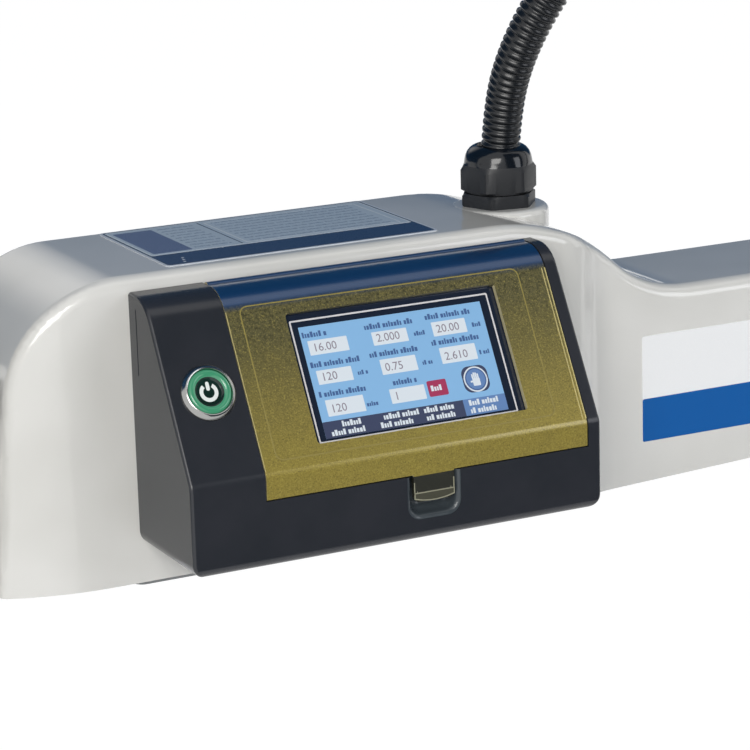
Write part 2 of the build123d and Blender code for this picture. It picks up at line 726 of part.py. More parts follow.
def upper_link():
    """The upper link, with two lugs below it for the gas spring's eye."""
    link = link_bar(LINK_UPPER_Z)
    x, z = spring_eye_pin()
    inner = SPRING_EYE_W / 2 + GAP
    for side in (-1, 1):
        y0, y1 = sorted((side * inner, side * (inner + SPRING_LUG_T)))
        link += span((x - SPRING_EYE_R, y0, z), (x + SPRING_EYE_R, y1, LINK_UPPER_Z - LINK_H / 2 + 1))
        link += rod_y(x, y0, y1, z, SPRING_EYE_R)
    return link - rod_y(x, -LINK_W, LINK_W, z, SPRING_PIN_R)


# ---------------------------------------------------------------- gas spring
def spring_line():
    """Foot and eye of the gas spring at rest, and the unit vector from the foot to the eye."""
    foot = Vector(HUB_PIN_X, 0, SPRING_FOOT_Z)
    x, z = spring_eye_pin()
    eye = Vector(x, 0, z - SPRING_EYE_DROP)
    return foot, eye, (eye - foot).normalized()


def along(start, direction, a, b, r):
    """A cylinder from a to b along a line."""
    plane = Plane(origin=start + direction * a, z_dir=direction)
    return extrude(plane * Circle(r), b - a)


def spring_cylinder():
    foot, _, way = spring_line()
    end = SPRING_TUBE_START + SPRING_TUBE_L
    tube = along(foot, way, SPRING_TUBE_START, end, SPRING_TUBE_R)
    head = end - SPRING_TUBE_HEAD
    tube -= along(foot, way, SPRING_TUBE_START + SPRING_TUBE_FLOOR, head, SPRING_TUBE_BORE_R)
    tube -= along(foot, way, head - 1, end + 1, SPRING_ROD_R + RUN)
    eye = rod_y(foot.X, -SPRING_EYE_W / 2, SPRING_EYE_W / 2, foot.Z, SPRING_EYE_R)
    neck = along(foot, way, 0, SPRING_TUBE_START, SPRING_NECK_R)
    return tube + eye + neck - rod_y(foot.X, -SPRING_EYE_W, SPRING_EYE_W, foot.Z, SPRING_PIN_R + RUN)


def spring_rod():
    foot, eye_at, way = spring_line()
    length = (eye_at - foot).length
    rod = along(foot, way, SPRING_PISTON_AT, length, SPRING_ROD_R)
    rod += along(foot, way, SPRING_PISTON_AT, SPRING_PISTON_AT + SPRING_PISTON_L, SPRING_PISTON_R)
    rod += rod_y(eye_at.X, -SPRING_EYE_W / 2, SPRING_EYE_W / 2, eye_at.Z, SPRING_EYE_R)
    return rod - rod_y(eye_at.X, -SPRING_EYE_W, SPRING_EYE_W, eye_at.Z, SPRING_EYE_BORE_R)


def spring_top_pin():
    x, z = spring_eye_pin()
    half = SPRING_EYE_W / 2 + GAP + SPRING_LUG_T
    pin = rod_y(x, -half, half, z, SPRING_PIN_R)
    for side in (-1, 1):
        y0, y1 = sorted((side * half, side * (half + SPRING_PIN_HEAD_T)))
        pin += rod_y(x, y0, y1, z, SPRING_PIN_HEAD_R)
    return pin


# ---------------------------------------------------------------- forearm casting
def s_curve(drop, r_first, r_second):
    """Two tangent arcs from one level down to the next, as far along and down: the first arc's
    middle, the turn, the second arc's middle and the end."""
    turn = acos(1 - drop / (r_first + r_second))
    end = (r_first + r_second) * sin(turn)
    bow = (r_first * sin(turn / 2), r_first * (1 - cos(turn / 2)))
    middle = (r_first * sin(turn), r_first * (1 - cos(turn)))
    sag = (end - r_second * sin(turn / 2), drop - r_second * (1 - cos(turn / 2)))
    return bow, middle, sag, (end, drop)


def cast_profile():
    """The casting's side view as a face in the middle plane."""
    elbow = ELBOW_X - PANEL_X
    ramp_z = CAST_TOP - RAMP_R
    ramp_mid = (RAMP_CENTRE - RAMP_R * cos(pi / 4), ramp_z + RAMP_R * sin(pi / 4))
    step = s_curve(CAST_TOP - REAR_TOP, STEP_UPPER_R, STEP_LOWER_R)
    bow, middle, sag, end = [(STEP_START + x, CAST_TOP - z) for x, z in step]
    edges = [
        Line((END_FOOT, CAST_BOTTOM), (REAR_FOOT_START, CAST_BOTTOM)),
        Line((REAR_FOOT_START, CAST_BOTTOM), (elbow, REAR_FOOT_END)),
        Line((elbow, REAR_FOOT_END), (elbow, REAR_TOP)),
        Line((elbow, REAR_TOP), end),
        ThreePointArc(end, sag, middle),
        ThreePointArc(middle, bow, (STEP_START, CAST_TOP)),
        Line((STEP_START, CAST_TOP), (RAMP_CENTRE, CAST_TOP)),
        ThreePointArc((RAMP_CENTRE, CAST_TOP), ramp_mid, (RAMP_CENTRE - RAMP_R, ramp_z)),
        Line((RAMP_CENTRE - RAMP_R, ramp_z), (END_FOOT, CAST_BOTTOM)),
    ]
    return make_face(Wire(edges))


def cast_side(side):
    """One side of the casting's top view, from the nose to the elbow, as edges in a row."""
    elbow = ELBOW_X - PANEL_X
    wide, narrow = CAST_W / 2, REAR_W / 2
    turn = asin((END_START - END_NOSE) / END_R)
    nose = (END_NOSE, side * (wide - END_R * (1 - cos(turn))))
    cheek = (END_START - END_R * sin(turn / 2), side * (wide - END_R * (1 - cos(turn / 2))))
    shoulder = s_curve(wide - narrow, SHOULDER_R, SHOULDER_R)
    bow, middle, sag, end = [(SHOULDER_X + x, side * (wide - y)) for x, y in shoulder]
    start = (SHOULDER_X, side * wide)
    return [
        ThreePointArc(nose, cheek, (END_START, side * wide)),
        Line((END_START, side * wide), start),
        ThreePointArc(start, bow, middle),
        ThreePointArc(middle, sag, end),
        Line(end, (elbow, side * narrow)),
    ]


def cast_plan():
    """The casting's top view as a face, its long axis on the arm's middle plane."""
    back, front = cast_side(1), cast_side(-1)
    nose = Line(front[0] @ 0, back[0] @ 0)
    root = Line(back[-1] @ 1, front[-1] @ 1)
    return make_face(Wire([nose, *back, root, *front]))


def cast_form(inset):
    """The casting's form, pulled in by the inset: side view and top view made to meet."""
    profile, plan = cast_profile(), cast_plan()
    if inset:
        profile = offset(profile, -inset, kind=Kind.INTERSECTION)
        plan = offset(plan, -inset, kind=Kind.INTERSECTION)
    side_plane = Plane(origin=(PANEL_X, CAST_W, PANEL_Z), x_dir=(1, 0, 0), z_dir=(0, -1, 0))
    top_plane = Plane(origin=(PANEL_X, 0, PANEL_Z - CAST_W))
    side_solid = extrude(side_plane * profile, 2 * CAST_W)
    top_solid = extrude(top_plane * plan, 4 * CAST_W)
    return side_solid & top_solid


def arm_casting():
    body = cast_form(0)
    low = PANEL_Z + CAST_BOTTOM + 1.0
    rims = [e for e in body.edges() if e.bounding_box().max.Z > low + CAST_LIP - 1 and not upright(e)]
    body = fillet(rims, CAST_FILLET)
    elbow_z0 = PANEL_Z + ELBOW_BOSS_BOTTOM
    elbow_z1 = PANEL_Z + ELBOW_BOSS_TOP
    boss = rod_z(ELBOW_X, 0, elbow_z0, elbow_z1, ELBOW_BOSS_R)
    body += fillet(boss.edges().group_by(Axis.Z)[-1], ELBOW_BOSS_FILLET)
    gland_x, _ = at(GLAND_X, 0)
    pad = rod_z(gland_x, 0, PANEL_Z + REAR_TOP - CAST_WALL, BOX_TOP_Z, PAD_R)
    body += fillet(pad.edges().group_by(Axis.Z)[-1], PAD_FILLET)
    inside_x0 = PANEL_X + END_FOOT + END_WALL
    tilt_boss = rod_x(PANEL_X + TILT_BOSS_END, inside_x0, 0, PANEL_Z + TILT_Z, TILT_BOSS_R)
    body = blended(body, tilt_boss, TILT_BLEND)
    inside_x1 = ELBOW_X - ELBOW_BOSS_R - CAST_WALL
    room = span((inside_x0, -CAST_W, PANEL_Z - CAST_W), (inside_x1, CAST_W, PANEL_Z + 2 * CAST_W))
    body -= cast_form(CAST_WALL) & room
    x0, x1, width = ACCESS
    body -= span((PANEL_X + x0, -width / 2, low - CAST_WALL),
                 (PANEL_X + x1, width / 2, low + 2 * CAST_WALL))
    for x, y in cover_screw_places():
        body -= rod_z(x, y, low - CAST_WALL, low + CAST_WALL, SCREW_R)
    body -= rod_z(gland_x, 0, PANEL_Z + REAR_TOP - 2 * CAST_WALL, BOX_TOP_Z + 1, GLAND_THREAD_R)
    hx0, hx1, hz0, hz1 = CABLE_WINDOW
    body -= span((PANEL_X + hx0, FRONT_Y - 1, PANEL_Z + hz0),
                 (PANEL_X + hx1, FRONT_Y + 2 * CAST_WALL, PANEL_Z + hz1))
    for x, z in panel_screw_places():
        body -= rod_y(x, FRONT_Y - 1, FRONT_Y + 2 * CAST_WALL, z, SCREW_R)
    body -= rod_z(ELBOW_X, 0, elbow_z0, elbow_z1, ELBOW_BORE_R)
    body -= rod_z(ELBOW_X, 0, elbow_z0, PANEL_Z + ELBOW_BEARING_LOW + ELBOW_BEARING_W, ELBOW_BEARING_R)
    body -= rod_z(ELBOW_X, 0, PANEL_Z + ELBOW_BEARING_HIGH, elbow_z1, ELBOW_BEARING_R)
    body -= rod_y(ELBOW_X, -ELBOW_BOSS_R - 1, 0, PANEL_Z + ELBOW_LOCK_Z, LEVER_STUD_R + RUN)
    body -= rod_x(PANEL_X + TILT_BOSS_END - 1, inside_x0 + 1, 0, PANEL_Z + TILT_Z, TILT_BUSH_R)
    body -= rod_z(PANEL_X + TILT_LOCK_X, 0, PANEL_Z + TILT_Z, PANEL_Z + TILT_Z + 2 * TILT_BOSS_R,
                  LEVER_STUD_R + RUN)
    return body


def blended(body, boss, radius):
    """A boss joined to a body, with a fillet where they meet."""
    joined = body + boss
    return fillet(new_edges(body, boss, combined=joined), radius)


def upright(edge):
    """True for a straight vertical edge."""
    box = edge.bounding_box().size
    return box.X < 0.01 and box.Y < 0.01


def panel_screw_places():
    """Row X and Z of the four screws that hold the panel housing on the casting."""
    places = []
    for x in (PANEL_SCREW_X, PANEL_L - PANEL_SCREW_X):
        for z in (PANEL_SCREW_LOW, PANEL_H - PANEL_SCREW_HIGH):
            places.append((PANEL_X + x, PANEL_Z + z))
    return places


def cover_screw_places():
    x0, x1, width = ACCESS
    inset = COVER_RIM / 2
    ys = (-width / 2 + inset, width / 2 - inset)
    return [(x, y) for x in (PANEL_X + x0 - inset, PANEL_X + x1 + inset) for y in ys]


def bottom_cover():
    """A sheet cover over the access opening, with a rim that locates it and the board's posts."""
    x0, x1, width = ACCESS
    z = PANEL_Z + CAST_BOTTOM
    plate = span((PANEL_X + x0 - COVER_RIM, -width / 2 - COVER_RIM / 2, z - COVER_T),
                 (PANEL_X + x1 + COVER_RIM, width / 2 + COVER_RIM / 2, z))
    plate = fillet(plate.edges().filter_by(Axis.Z), COVER_CORNER_R)
    out, inn = COVER_LIP_PLAY, COVER_LIP_PLAY + COVER_LIP_T
    lip = span((PANEL_X + x0 + out, -width / 2 + out, z),
               (PANEL_X + x1 - out, width / 2 - out, z + COVER_LIP_H))
    plate += lip - span((PANEL_X + x0 + inn, -width / 2 + inn, z),
                        (PANEL_X + x1 - inn, width / 2 - inn, z + 2 * COVER_LIP_H))
    for x, y in cover_screw_places():
        plate -= rod_z(x, y, z - 2 * COVER_T, z + COVER_T, SCREW_R)
    for x, y in board_corner_places():
        plate += rod_z(x, y, z, z + STANDOFF_H, STANDOFF_R)
    return plate


def cover_screws():
    z = PANEL_Z + CAST_BOTTOM - COVER_T
    screws = []
    for x, y in cover_screw_places():
        screw = rod_z(x, y, z, z + COVER_T + CAST_WALL - SCREW_SHY, SCREW_R)
        head = rod_z(x, y, z - SCREW_HEAD_T, z, SCREW_HEAD_R)
        screws.append(screw + fillet(head.edges().group_by(Axis.Z)[0], SCREW_HEAD_FILLET))
    return screws


def housing_screws():
    """The screws that hold the bottom cover and the panel housing."""
    return group(cover_screws() + panel_screws())


# ---------------------------------------------------------------- elbow
def elbow_shaft():
    """The hollow shaft that the forearm swings on, pressed into the knuckle, and its round nut."""
    stem_z = KNUCKLE_BOTTOM + STEM_FLOOR
    top = PANEL_Z + ELBOW_BEARING_HIGH + ELBOW_BEARING_W + ELBOW_NUT_T
    shaft = rod_z(ELBOW_X, 0, stem_z, KNUCKLE_TOP, ELBOW_STEM_R)
    shaft += rod_z(ELBOW_X, 0, KNUCKLE_TOP, top, ELBOW_SHAFT_R)
    shaft += rod_z(ELBOW_X, 0, KNUCKLE_TOP, PANEL_Z + ELBOW_BEARING_LOW, ELBOW_STEM_R)
    shaft -= rod_z(ELBOW_X, 0, stem_z - 1, top + 1, ELBOW_CABLE_R)
    return group([shaft, elbow_nut()])


def elbow_bearings():
    r_in = ELBOW_SHAFT_R + RUN
    rings = []
    for z in (ELBOW_BEARING_LOW, ELBOW_BEARING_HIGH):
        rings.append(bearing_z(ELBOW_X, 0, PANEL_Z + z, ELBOW_BEARING_W, ELBOW_BEARING_R, r_in))
    return group(rings)


def elbow_nut():
    """A slotted round nut on the elbow shaft, a hair above the bearing."""
    z = PANEL_Z + ELBOW_BEARING_HIGH + ELBOW_BEARING_W + NUT_CLEARANCE
    nut = rod_z(ELBOW_X, 0, z, z + ELBOW_NUT_T - GAP, ELBOW_NUT_R)
    nut -= rod_z(ELBOW_X, 0, z - 1, z + ELBOW_NUT_T, ELBOW_SHAFT_R)
    deep, wide = ELBOW_NUT_SLOT
    for turn in range(4):
        slot = Pos(ELBOW_NUT_R, 0, 0) * Box(deep, wide, 4 * ELBOW_NUT_T)
        nut -= Pos(ELBOW_X, 0, z) * Rot(0, 0, 90 * turn) * slot
    return nut


def elbow_cap():
    """The round cover on the elbow boss, which carries the second cable gland."""
    z0 = PANEL_Z + ELBOW_BOSS_TOP
    cap = rod_z(ELBOW_X, 0, z0, BOX_TOP_Z, ELBOW_CAP_R)
    cap = fillet(cap.edges().group_by(Axis.Z)[-1], ELBOW_CAP_ROUND)
    inner = rod_z(ELBOW_X, 0, z0, BOX_TOP_Z - ELBOW_CAP_WALL, ELBOW_CAP_R - ELBOW_CAP_WALL)
    cap -= fillet(inner.edges().group_by(Axis.Z)[-1], ELBOW_CAP_ROUND - ELBOW_CAP_WALL)
    return cap - rod_z(ELBOW_X, 0, z0, BOX_TOP_Z + ELBOW_CAP_WALL, GLAND_THREAD_R)


# ---------------------------------------------------------------- panel housing
def panel_section(inset):
    """The panel housing's side view: a box with its front sloping back above the fold."""
    slope_y = PANEL_D - (PANEL_H - PANEL_FOLD) * tan(PLANE_TILT)
    outline = Polyline((0, 0), (-PANEL_D, 0), (-PANEL_D, PANEL_FOLD), (-slope_y, PANEL_H), (0, PANEL_H),
                       close=True)
    face = make_face(outline)
    foot = face.vertices().group_by(Axis.Y)[0].sort_by(Axis.X)[0]
    face = fillet(foot, PANEL_FOOT_R)
    crest = face.vertices().group_by(Axis.Y)[-1].sort_by(Axis.X)[0]
    face = fillet(crest, PANEL_TOP_R)
    fold = min(face.vertices(), key=lambda v: abs(v.X + PANEL_D) + abs(v.Y - PANEL_FOLD))
    face = fillet(fold, COVER_FOLD_R)
    if inset:
        face = offset(face, -inset, kind=Kind.INTERSECTION)
    return face


def section_plane(x):
    """The plane of a panel section: its X is row Y from the casting's front, its Y is height."""
    return Plane(origin=(PANEL_X + x, FRONT_Y, PANEL_Z), x_dir=(0, 1, 0), z_dir=(1, 0, 0))


def panel_slab(inset, x0, x1):
    return extrude(section_plane(x0) * panel_section(inset), x1 - x0)


def slope_plane(x, s, sink):
    """A plane on the sloping front: X along the arm, Y up the slope, Z straight out of it."""
    out = Vector(0, -cos(PLANE_TILT), sin(PLANE_TILT))
    up = Vector(0, sin(PLANE_TILT), cos(PLANE_TILT))
    fold = Vector(PANEL_X, FRONT_Y - PANEL_D, PANEL_Z + PANEL_FOLD)
    origin = fold + Vector(x, 0, 0) + up * s - out * sink
    return Plane(origin=origin, x_dir=(1, 0, 0), z_dir=out)


def slope_block(xs, ss, sink, depth, grow=0.0):
    """A block let into the sloping front, its top at the given sink."""
    plane = slope_plane((xs[0] + xs[1]) / 2, (ss[0] + ss[1]) / 2, sink + depth)
    width = xs[1] - xs[0] + 2 * grow
    height = ss[1] - ss[0] + 2 * grow
    return extrude(plane * Rectangle(width, height), depth)


def hinge_place():
    """Row Y and Z of the flip cover's hinge."""
    return FRONT_Y - HINGE_Y, PANEL_Z + PANEL_H - HINGE_DROP


def housing_block():
    """The housing's solid: its section along the arm, its lower corners rounded from the front."""
    middle = Pos(PANEL_L / 2, PANEL_H / 2) * Rectangle(PANEL_L, PANEL_H)
    front = fillet(middle.vertices().group_by(Axis.Y)[0], PANEL_CORNER_R)
    plane = Plane(origin=(PANEL_X, FRONT_Y, PANEL_Z), x_dir=(1, 0, 0), z_dir=(0, -1, 0))
    body = panel_slab(0, 0, PANEL_L) & extrude(plane * front, 2 * PANEL_D)
    return fillet([e for e in body.edges() if on_rim(e)], PANEL_EDGE_R)


def on_rim(edge):
    """True for the housing's edges around its two ends, but not where it sits on the casting."""
    box = edge.bounding_box()
    near = PANEL_CORNER_R + 1
    at_left = box.max.X < PANEL_X + near
    at_right = box.min.X > PANEL_X + PANEL_L - near
    at_back = box.min.Y > FRONT_Y - 0.5
    ends_at_back = box.max.Y > FRONT_Y - 0.5 and box.size.Z < 0.01 and box.max.Z < PANEL_Z + near
    return (at_left or at_right) and not at_back and not ends_at_back


def panel_posts(length, radius, lead):
    """Rods along Y at the housing's screws, from inside the housing to just past its back."""
    return [rod_y(x, FRONT_Y - length, FRONT_Y + lead, z, radius) for x, z in panel_screw_places()]


def housing_cavity():
    """The room inside the housing: around the screw posts and the scoop's walls."""
    cavity = panel_slab(PANEL_WALL, PANEL_WALL, PANEL_L - PANEL_WALL)
    cavity += span((PANEL_X + PANEL_WALL, FRONT_Y - PANEL_WALL - 1, PANEL_Z + PANEL_WALL),
                   (PANEL_X + PANEL_L - PANEL_WALL, FRONT_Y + 1, PANEL_Z + PANEL_H - 2 * PANEL_WALL))
    half = SCOOP_W / 2 + SCOOP_WALL
    cavity -= span((PANEL_X + SCOOP_X - half, FRONT_Y - PANEL_D, PANEL_Z),
                   (PANEL_X + SCOOP_X + half, FRONT_Y - PANEL_D + SCOOP_DEPTH + SCOOP_WALL,
                    PANEL_Z + RECESS_FOOT + 2 * SCOOP_WALL))
    for post in panel_posts(PANEL_POST_L, PANEL_POST_R, 0):
        cavity -= post
    return cavity


def cover_recess():
    """The recess that the flip cover lies in, with its hinge's room and its pin's bore."""
    recess = panel_slab(0, RECESS_X0, RECESS_X1) - panel_slab(RECESS_DEPTH, RECESS_X0, RECESS_X1)
    recess &= span((PANEL_X, FRONT_Y - 2 * PANEL_D, PANEL_Z + RECESS_FOOT),
                   (PANEL_X + PANEL_L, FRONT_Y + 1, PANEL_Z + 2 * PANEL_H))
    y, z = hinge_place()
    recess += rod_x(PANEL_X + RECESS_X0, PANEL_X + RECESS_X1, y, z, HINGE_ROOM_R)
    recess += span((PANEL_X + RECESS_X0, y, z - HINGE_ROOM_R),
                   (PANEL_X + RECESS_X1, FRONT_Y + 1, PANEL_Z + PANEL_H + 1))
    return recess + hinge_pin()


def scoop_pocket():
    """The finger scoop in the lower front, under the cover's foot."""
    scoop = fillet(Rectangle(SCOOP_W, 2 * (RECESS_FOOT - SCOOP_Z0)).vertices(), SCOOP_R)
    mouth = Plane(origin=(PANEL_X + SCOOP_X, FRONT_Y - PANEL_D - 1, PANEL_Z + RECESS_FOOT),
                  x_dir=(1, 0, 0), z_dir=(0, 1, 0))
    pocket = extrude(mouth * scoop, SCOOP_DEPTH + 1)
    top = PANEL_Z + RECESS_FOOT + COVER_PLAY
    return pocket & span((PANEL_X, FRONT_Y - 2 * PANEL_D, PANEL_Z), (PANEL_X + PANEL_L, FRONT_Y, top))


def panel_housing():
    body = housing_block() - cover_recess() - housing_cavity()
    for bore in panel_posts(PANEL_SCREW_L, SCREW_R, 1):
        body -= bore
    body -= scoop_pocket()
    body -= slope_block(DISPLAY_X, DISPLAY_S, 0, DISPLAY_SINK + DISPLAY_DEPTH, DISPLAY_PLAY)
    body -= extrude(slope_plane(BUTTON_X, BUTTON_S, BUTTON_BODY_L) * Circle(BUTTON_BODY_R), 2 * BUTTON_BODY_L)
    for x0, x1 in ((-1.0, SLIT_DEPTH), (PANEL_L - SLIT_DEPTH, PANEL_L + 1.0)):
        body -= span((PANEL_X + x0, FRONT_Y - SLIT_Y - SLIT_W, PANEL_Z + SLIT_Z0),
                     (PANEL_X + x1, FRONT_Y - SLIT_Y, PANEL_Z + SLIT_Z1))
    return body


def panel_screws():
    screws = []
    for x, z in panel_screw_places():
        screw = rod_y(x, FRONT_Y - PANEL_SCREW_L + SCREW_SHY, FRONT_Y + CAST_WALL, z, SCREW_R)
        screw += rod_y(x, FRONT_Y + CAST_WALL, FRONT_Y + CAST_WALL + SCREW_HEAD_T, z, SCREW_HEAD_R)
        screws.append(screw)
    return screws


def flip_cover():
    """The bent cover over the display, with its hinge barrel, its window and its pull tab."""
    x0, x1 = RECESS_X0 + COVER_PLAY, RECESS_X1 - COVER_PLAY
    sheet = panel_slab(COVER_SINK, x0, x1) - panel_slab(COVER_SINK + COVER_SHEET, x0, x1)
    hinge_y, hinge_z = hinge_place()
    foot = PANEL_Z + RECESS_FOOT + COVER_PLAY
    sheet &= span((PANEL_X, FRONT_Y - 2 * PANEL_D, foot),
                  (PANEL_X + PANEL_L, hinge_y, PANEL_Z + 2 * PANEL_H))
    sheet += rod_x(PANEL_X + x0, PANEL_X + x1, hinge_y, hinge_z, HINGE_BARREL_R)
    sheet -= rod_x(PANEL_X + RECESS_X0, PANEL_X + RECESS_X1, hinge_y, hinge_z, HINGE_PIN_R + RUN)
    window = fillet(Rectangle(WINDOW_X[1] - WINDOW_X[0], WINDOW_S[1] - WINDOW_S[0]).vertices(), WINDOW_R)
    place = slope_plane(sum(WINDOW_X) / 2, sum(WINDOW_S) / 2, 2 * COVER_SHEET)
    return sheet - extrude(place * window, 4 * COVER_SHEET) + pull_tab()


def pull_tab():
    """The tab under the cover's foot that a finger in the scoop pulls."""
    foot = RECESS_FOOT + COVER_PLAY
    y0 = FRONT_Y - PANEL_D + COVER_SINK
    tab = span((PANEL_X + SCOOP_X - TAB_W / 2, y0, PANEL_Z + TAB_FOOT),
               (PANEL_X + SCOOP_X + TAB_W / 2, y0 + TAB_T, PANEL_Z + foot + 1))
    return fillet(tab.edges().filter_by(Axis.Y).group_by(Axis.Z)[0], TAB_CORNER_R)


def hinge_pin():
    hinge_y, hinge_z = hinge_place()
    return rod_x(PANEL_X + RECESS_X0 - HINGE_PIN_END, PANEL_X + RECESS_X1 + HINGE_PIN_END,
                 hinge_y, hinge_z, HINGE_PIN_R)


def display_unit():
    """The display's case, with a seat for its glass."""
    case = slope_block(DISPLAY_X, DISPLAY_S, DISPLAY_SINK, DISPLAY_DEPTH)
    return case - slope_block(glass_x(), glass_s(), DISPLAY_SINK, GLASS_T)


def glass_x():
    return DISPLAY_X[0] + GLASS_EDGE, DISPLAY_X[1] - GLASS_EDGE


def glass_s():
    return DISPLAY_S[0] + GLASS_EDGE, DISPLAY_S[1] - GLASS_EDGE


def display_glass():
    return slope_block(glass_x(), glass_s(), DISPLAY_SINK, GLASS_T)


# ---------------------------------------------------------------- power button
def button_rod(sink, length, r):
    """A cylinder on the power button's axis, from below the sloping front outwards."""
    return extrude(slope_plane(BUTTON_X, BUTTON_S, sink) * Circle(r), length)


def outer_rim(body):
    """The edge of a button piece that stands furthest out of the sloping front."""
    return body.edges().sort_by(lambda e: e.center().Z)[-1]


def power_bezel():
    ring = button_rod(0, BUTTON_BEZEL_T, BUTTON_BEZEL_R)
    ring = fillet(outer_rim(ring), BUTTON_BEZEL_ROUND)
    return ring - button_rod(1, 3 * BUTTON_BEZEL_T, BUTTON_CAP_R + BUTTON_PLAY)


def power_switch():
    """The switch body in the panel, with a well for the cap's stem and a seat for its head."""
    body = button_rod(BUTTON_BODY_L, BUTTON_BODY_L, BUTTON_BODY_R)
    body -= button_rod(BUTTON_WELL, BUTTON_WELL + 1, BUTTON_STEM_R + BUTTON_PLAY)
    seat = BUTTON_HEAD_T + BUTTON_CAP_SINK - BUTTON_BEZEL_T + BUTTON_TRAVEL + 2 * BUTTON_PLAY
    body -= button_rod(seat, seat + 1, BUTTON_CAP_R + BUTTON_PLAY)
    wide, high, length = BUTTON_BLADE
    for x in (BUTTON_X - BUTTON_BLADE_X, BUTTON_X + BUTTON_BLADE_X):
        plane = slope_plane(x, BUTTON_S, BUTTON_BODY_L + length)
        body += extrude(plane * Rectangle(wide, high), length)
    return body


def power_cap():
    """The cap: a head in the bezel on a stem in the switch body's well."""
    foot = BUTTON_CAP_L - BUTTON_BEZEL_T + BUTTON_CAP_SINK
    head = button_rod(foot - BUTTON_CAP_L + BUTTON_HEAD_T, BUTTON_HEAD_T, BUTTON_CAP_R)
    return button_rod(foot, BUTTON_CAP_L, BUTTON_STEM_R) + chamfer(outer_rim(head), BUTTON_CAP_EDGE)


# ---------------------------------------------------------------- glands and conduit
def gland_seats():
    """Row X of the two cable glands: on the casting's box and on the elbow cap."""
    return PANEL_X + GLAND_X, ELBOW_X


def gland_hexagon(x, z0, height, turn):
    """A hexagonal prism on a gland's axis, its corners turned down to a circle."""
    prism = extrude(Rot(0, 0, turn) * RegularPolygon(GLAND_FLATS / 2, 6, major_radius=False), height)
    return Pos(x, 0, z0) * (prism & Pos(0, 0, height / 2) * Cylinder(GLAND_CORNER_R, height))


def gland_body(x):
    body = gland_hexagon(x, BOX_TOP_Z, GLAND_FLANGE_T, GLAND_TURN)
    body += rod_z(x, 0, BOX_TOP_Z - GLAND_THREAD_L, BOX_TOP_Z, GLAND_THREAD_R)
    return body - rod_z(x, 0, BOX_TOP_Z - 2 * GLAND_THREAD_L, BOX_TOP_Z + 2 * GLAND_FLANGE_T, GLAND_BORE_R)


def gland_nut(x):
    """A tall hexagonal dome nut: a hexagon below, a round shoulder above."""
    z0 = BOX_TOP_Z + GLAND_FLANGE_T + GLAND_NECK
    top = z0 + GLAND_NUT_H
    nut = gland_hexagon(x, z0, GLAND_HEX_H, GLAND_NUT_TURN)
    dome = rod_z(x, 0, z0, top, GLAND_FLATS / 2)
    nut += fillet(dome.edges().group_by(Axis.Z)[-1], GLAND_DOME_R)
    nut += rod_z(x, 0, z0 - GLAND_NECK, z0, GLAND_FLATS / 2 - GLAND_NECK_IN)
    return nut - rod_z(x, 0, z0 - 1, top + 1, GLAND_MOUTH_R)


def cable_glands():
    """Both cable glands: each a body screwed into its seat and a dome nut on it."""
    glands = []
    for x in gland_seats():
        glands += [gland_body(x), gland_nut(x)]
    return group(glands)


def route_points():
    x0, z0 = PANEL_X, BOX_TOP_Z
    return [Vector(x0 + x, y, z0 + z) for x, y, z in CONDUIT_ROUTE]


def route_radii(points):
    """The radius of each arc of a route: as large as its two runs allow."""
    radii = []
    for before, corner, after in zip(points, points[1:], points[2:]):
        run_in, run_out = corner - before, after - corner
        turn = radians(run_in.get_angle(run_out))
        radii.append(ROUTE_SHARE * min(run_in.length, run_out.length) / tan(turn / 2))
    return radii


def signal_conduit():
    """The corrugated conduit as a plain tube from one cable gland to the other."""
    points = route_points()
    radii = route_radii(points)
    path = FilletPolyline(*points, radius=radii)
    start = Plane(origin=points[0], z_dir=(points[1] - points[0]).normalized())
    tube = sweep(start * Circle(CONDUIT_D / 2), path=path)
    expected = pi * (CONDUIT_D / 2) ** 2 * path.length
    print("conduit radii", [round(r, 1) for r in radii])
    print("conduit volume over section times length", round(tube.volume / expected, 5))
    return tube


# ---------------------------------------------------------------- labels and electronics
def top_label():
    label = span((PANEL_X + LABEL_X[0], LABEL_Y[0], BOX_TOP_Z), (PANEL_X + LABEL_X[1], LABEL_Y[1],
                                                                 BOX_TOP_Z + LABEL_T))
    return fillet(label.edges().filter_by(Axis.Z), LABEL_CORNER_R)


def name_plate():
    y = -REAR_W / 2
    return span((PANEL_X + PLATE_X[0], y - PLATE_T, PANEL_Z + PLATE_Z[0]),
                (PANEL_X + PLATE_X[1], y, PANEL_Z + PLATE_Z[1]))


def board_floor():
    """Height of the standoffs' feet: on top of the bottom cover's lip."""
    return PANEL_Z + CAST_BOTTOM


def board_corner_places():
    length, width, _ = BOARD
    xs = (BOARD_X + STANDOFF_INSET, BOARD_X + length - STANDOFF_INSET)
    ys = (-width / 2 + STANDOFF_INSET, width / 2 - STANDOFF_INSET)
    return [(PANEL_X + x, y) for x in xs for y in ys]


def control_board():
    """The circuit board, with its capacitors, relay, chip and plugs."""
    length, width, t = BOARD
    z = board_floor() + STANDOFF_H
    top = z + t
    x0 = PANEL_X + BOARD_X
    board = span((x0, -width / 2, z), (x0 + length, width / 2, top))
    can_r, can_h = CAPACITOR
    can_x, can_y = CAPACITOR_AT
    for i in range(CAPACITORS):
        board += rod_z(x0 + can_x + CAPACITOR_PITCH * i, can_y, top, top + can_h, can_r)
    for xs, ys, height in (RELAY, CHIP):
        board += span((x0 + xs[0], ys[0], top), (x0 + xs[1], ys[1], top + height))
    long, deep, high = PLUG
    for i in range(PLUGS):
        x = x0 + PLUG_AT[0] + PLUG_PITCH * i
        board += span((x, PLUG_AT[1], top), (x + long, PLUG_AT[1] + deep, top + high))
    return board


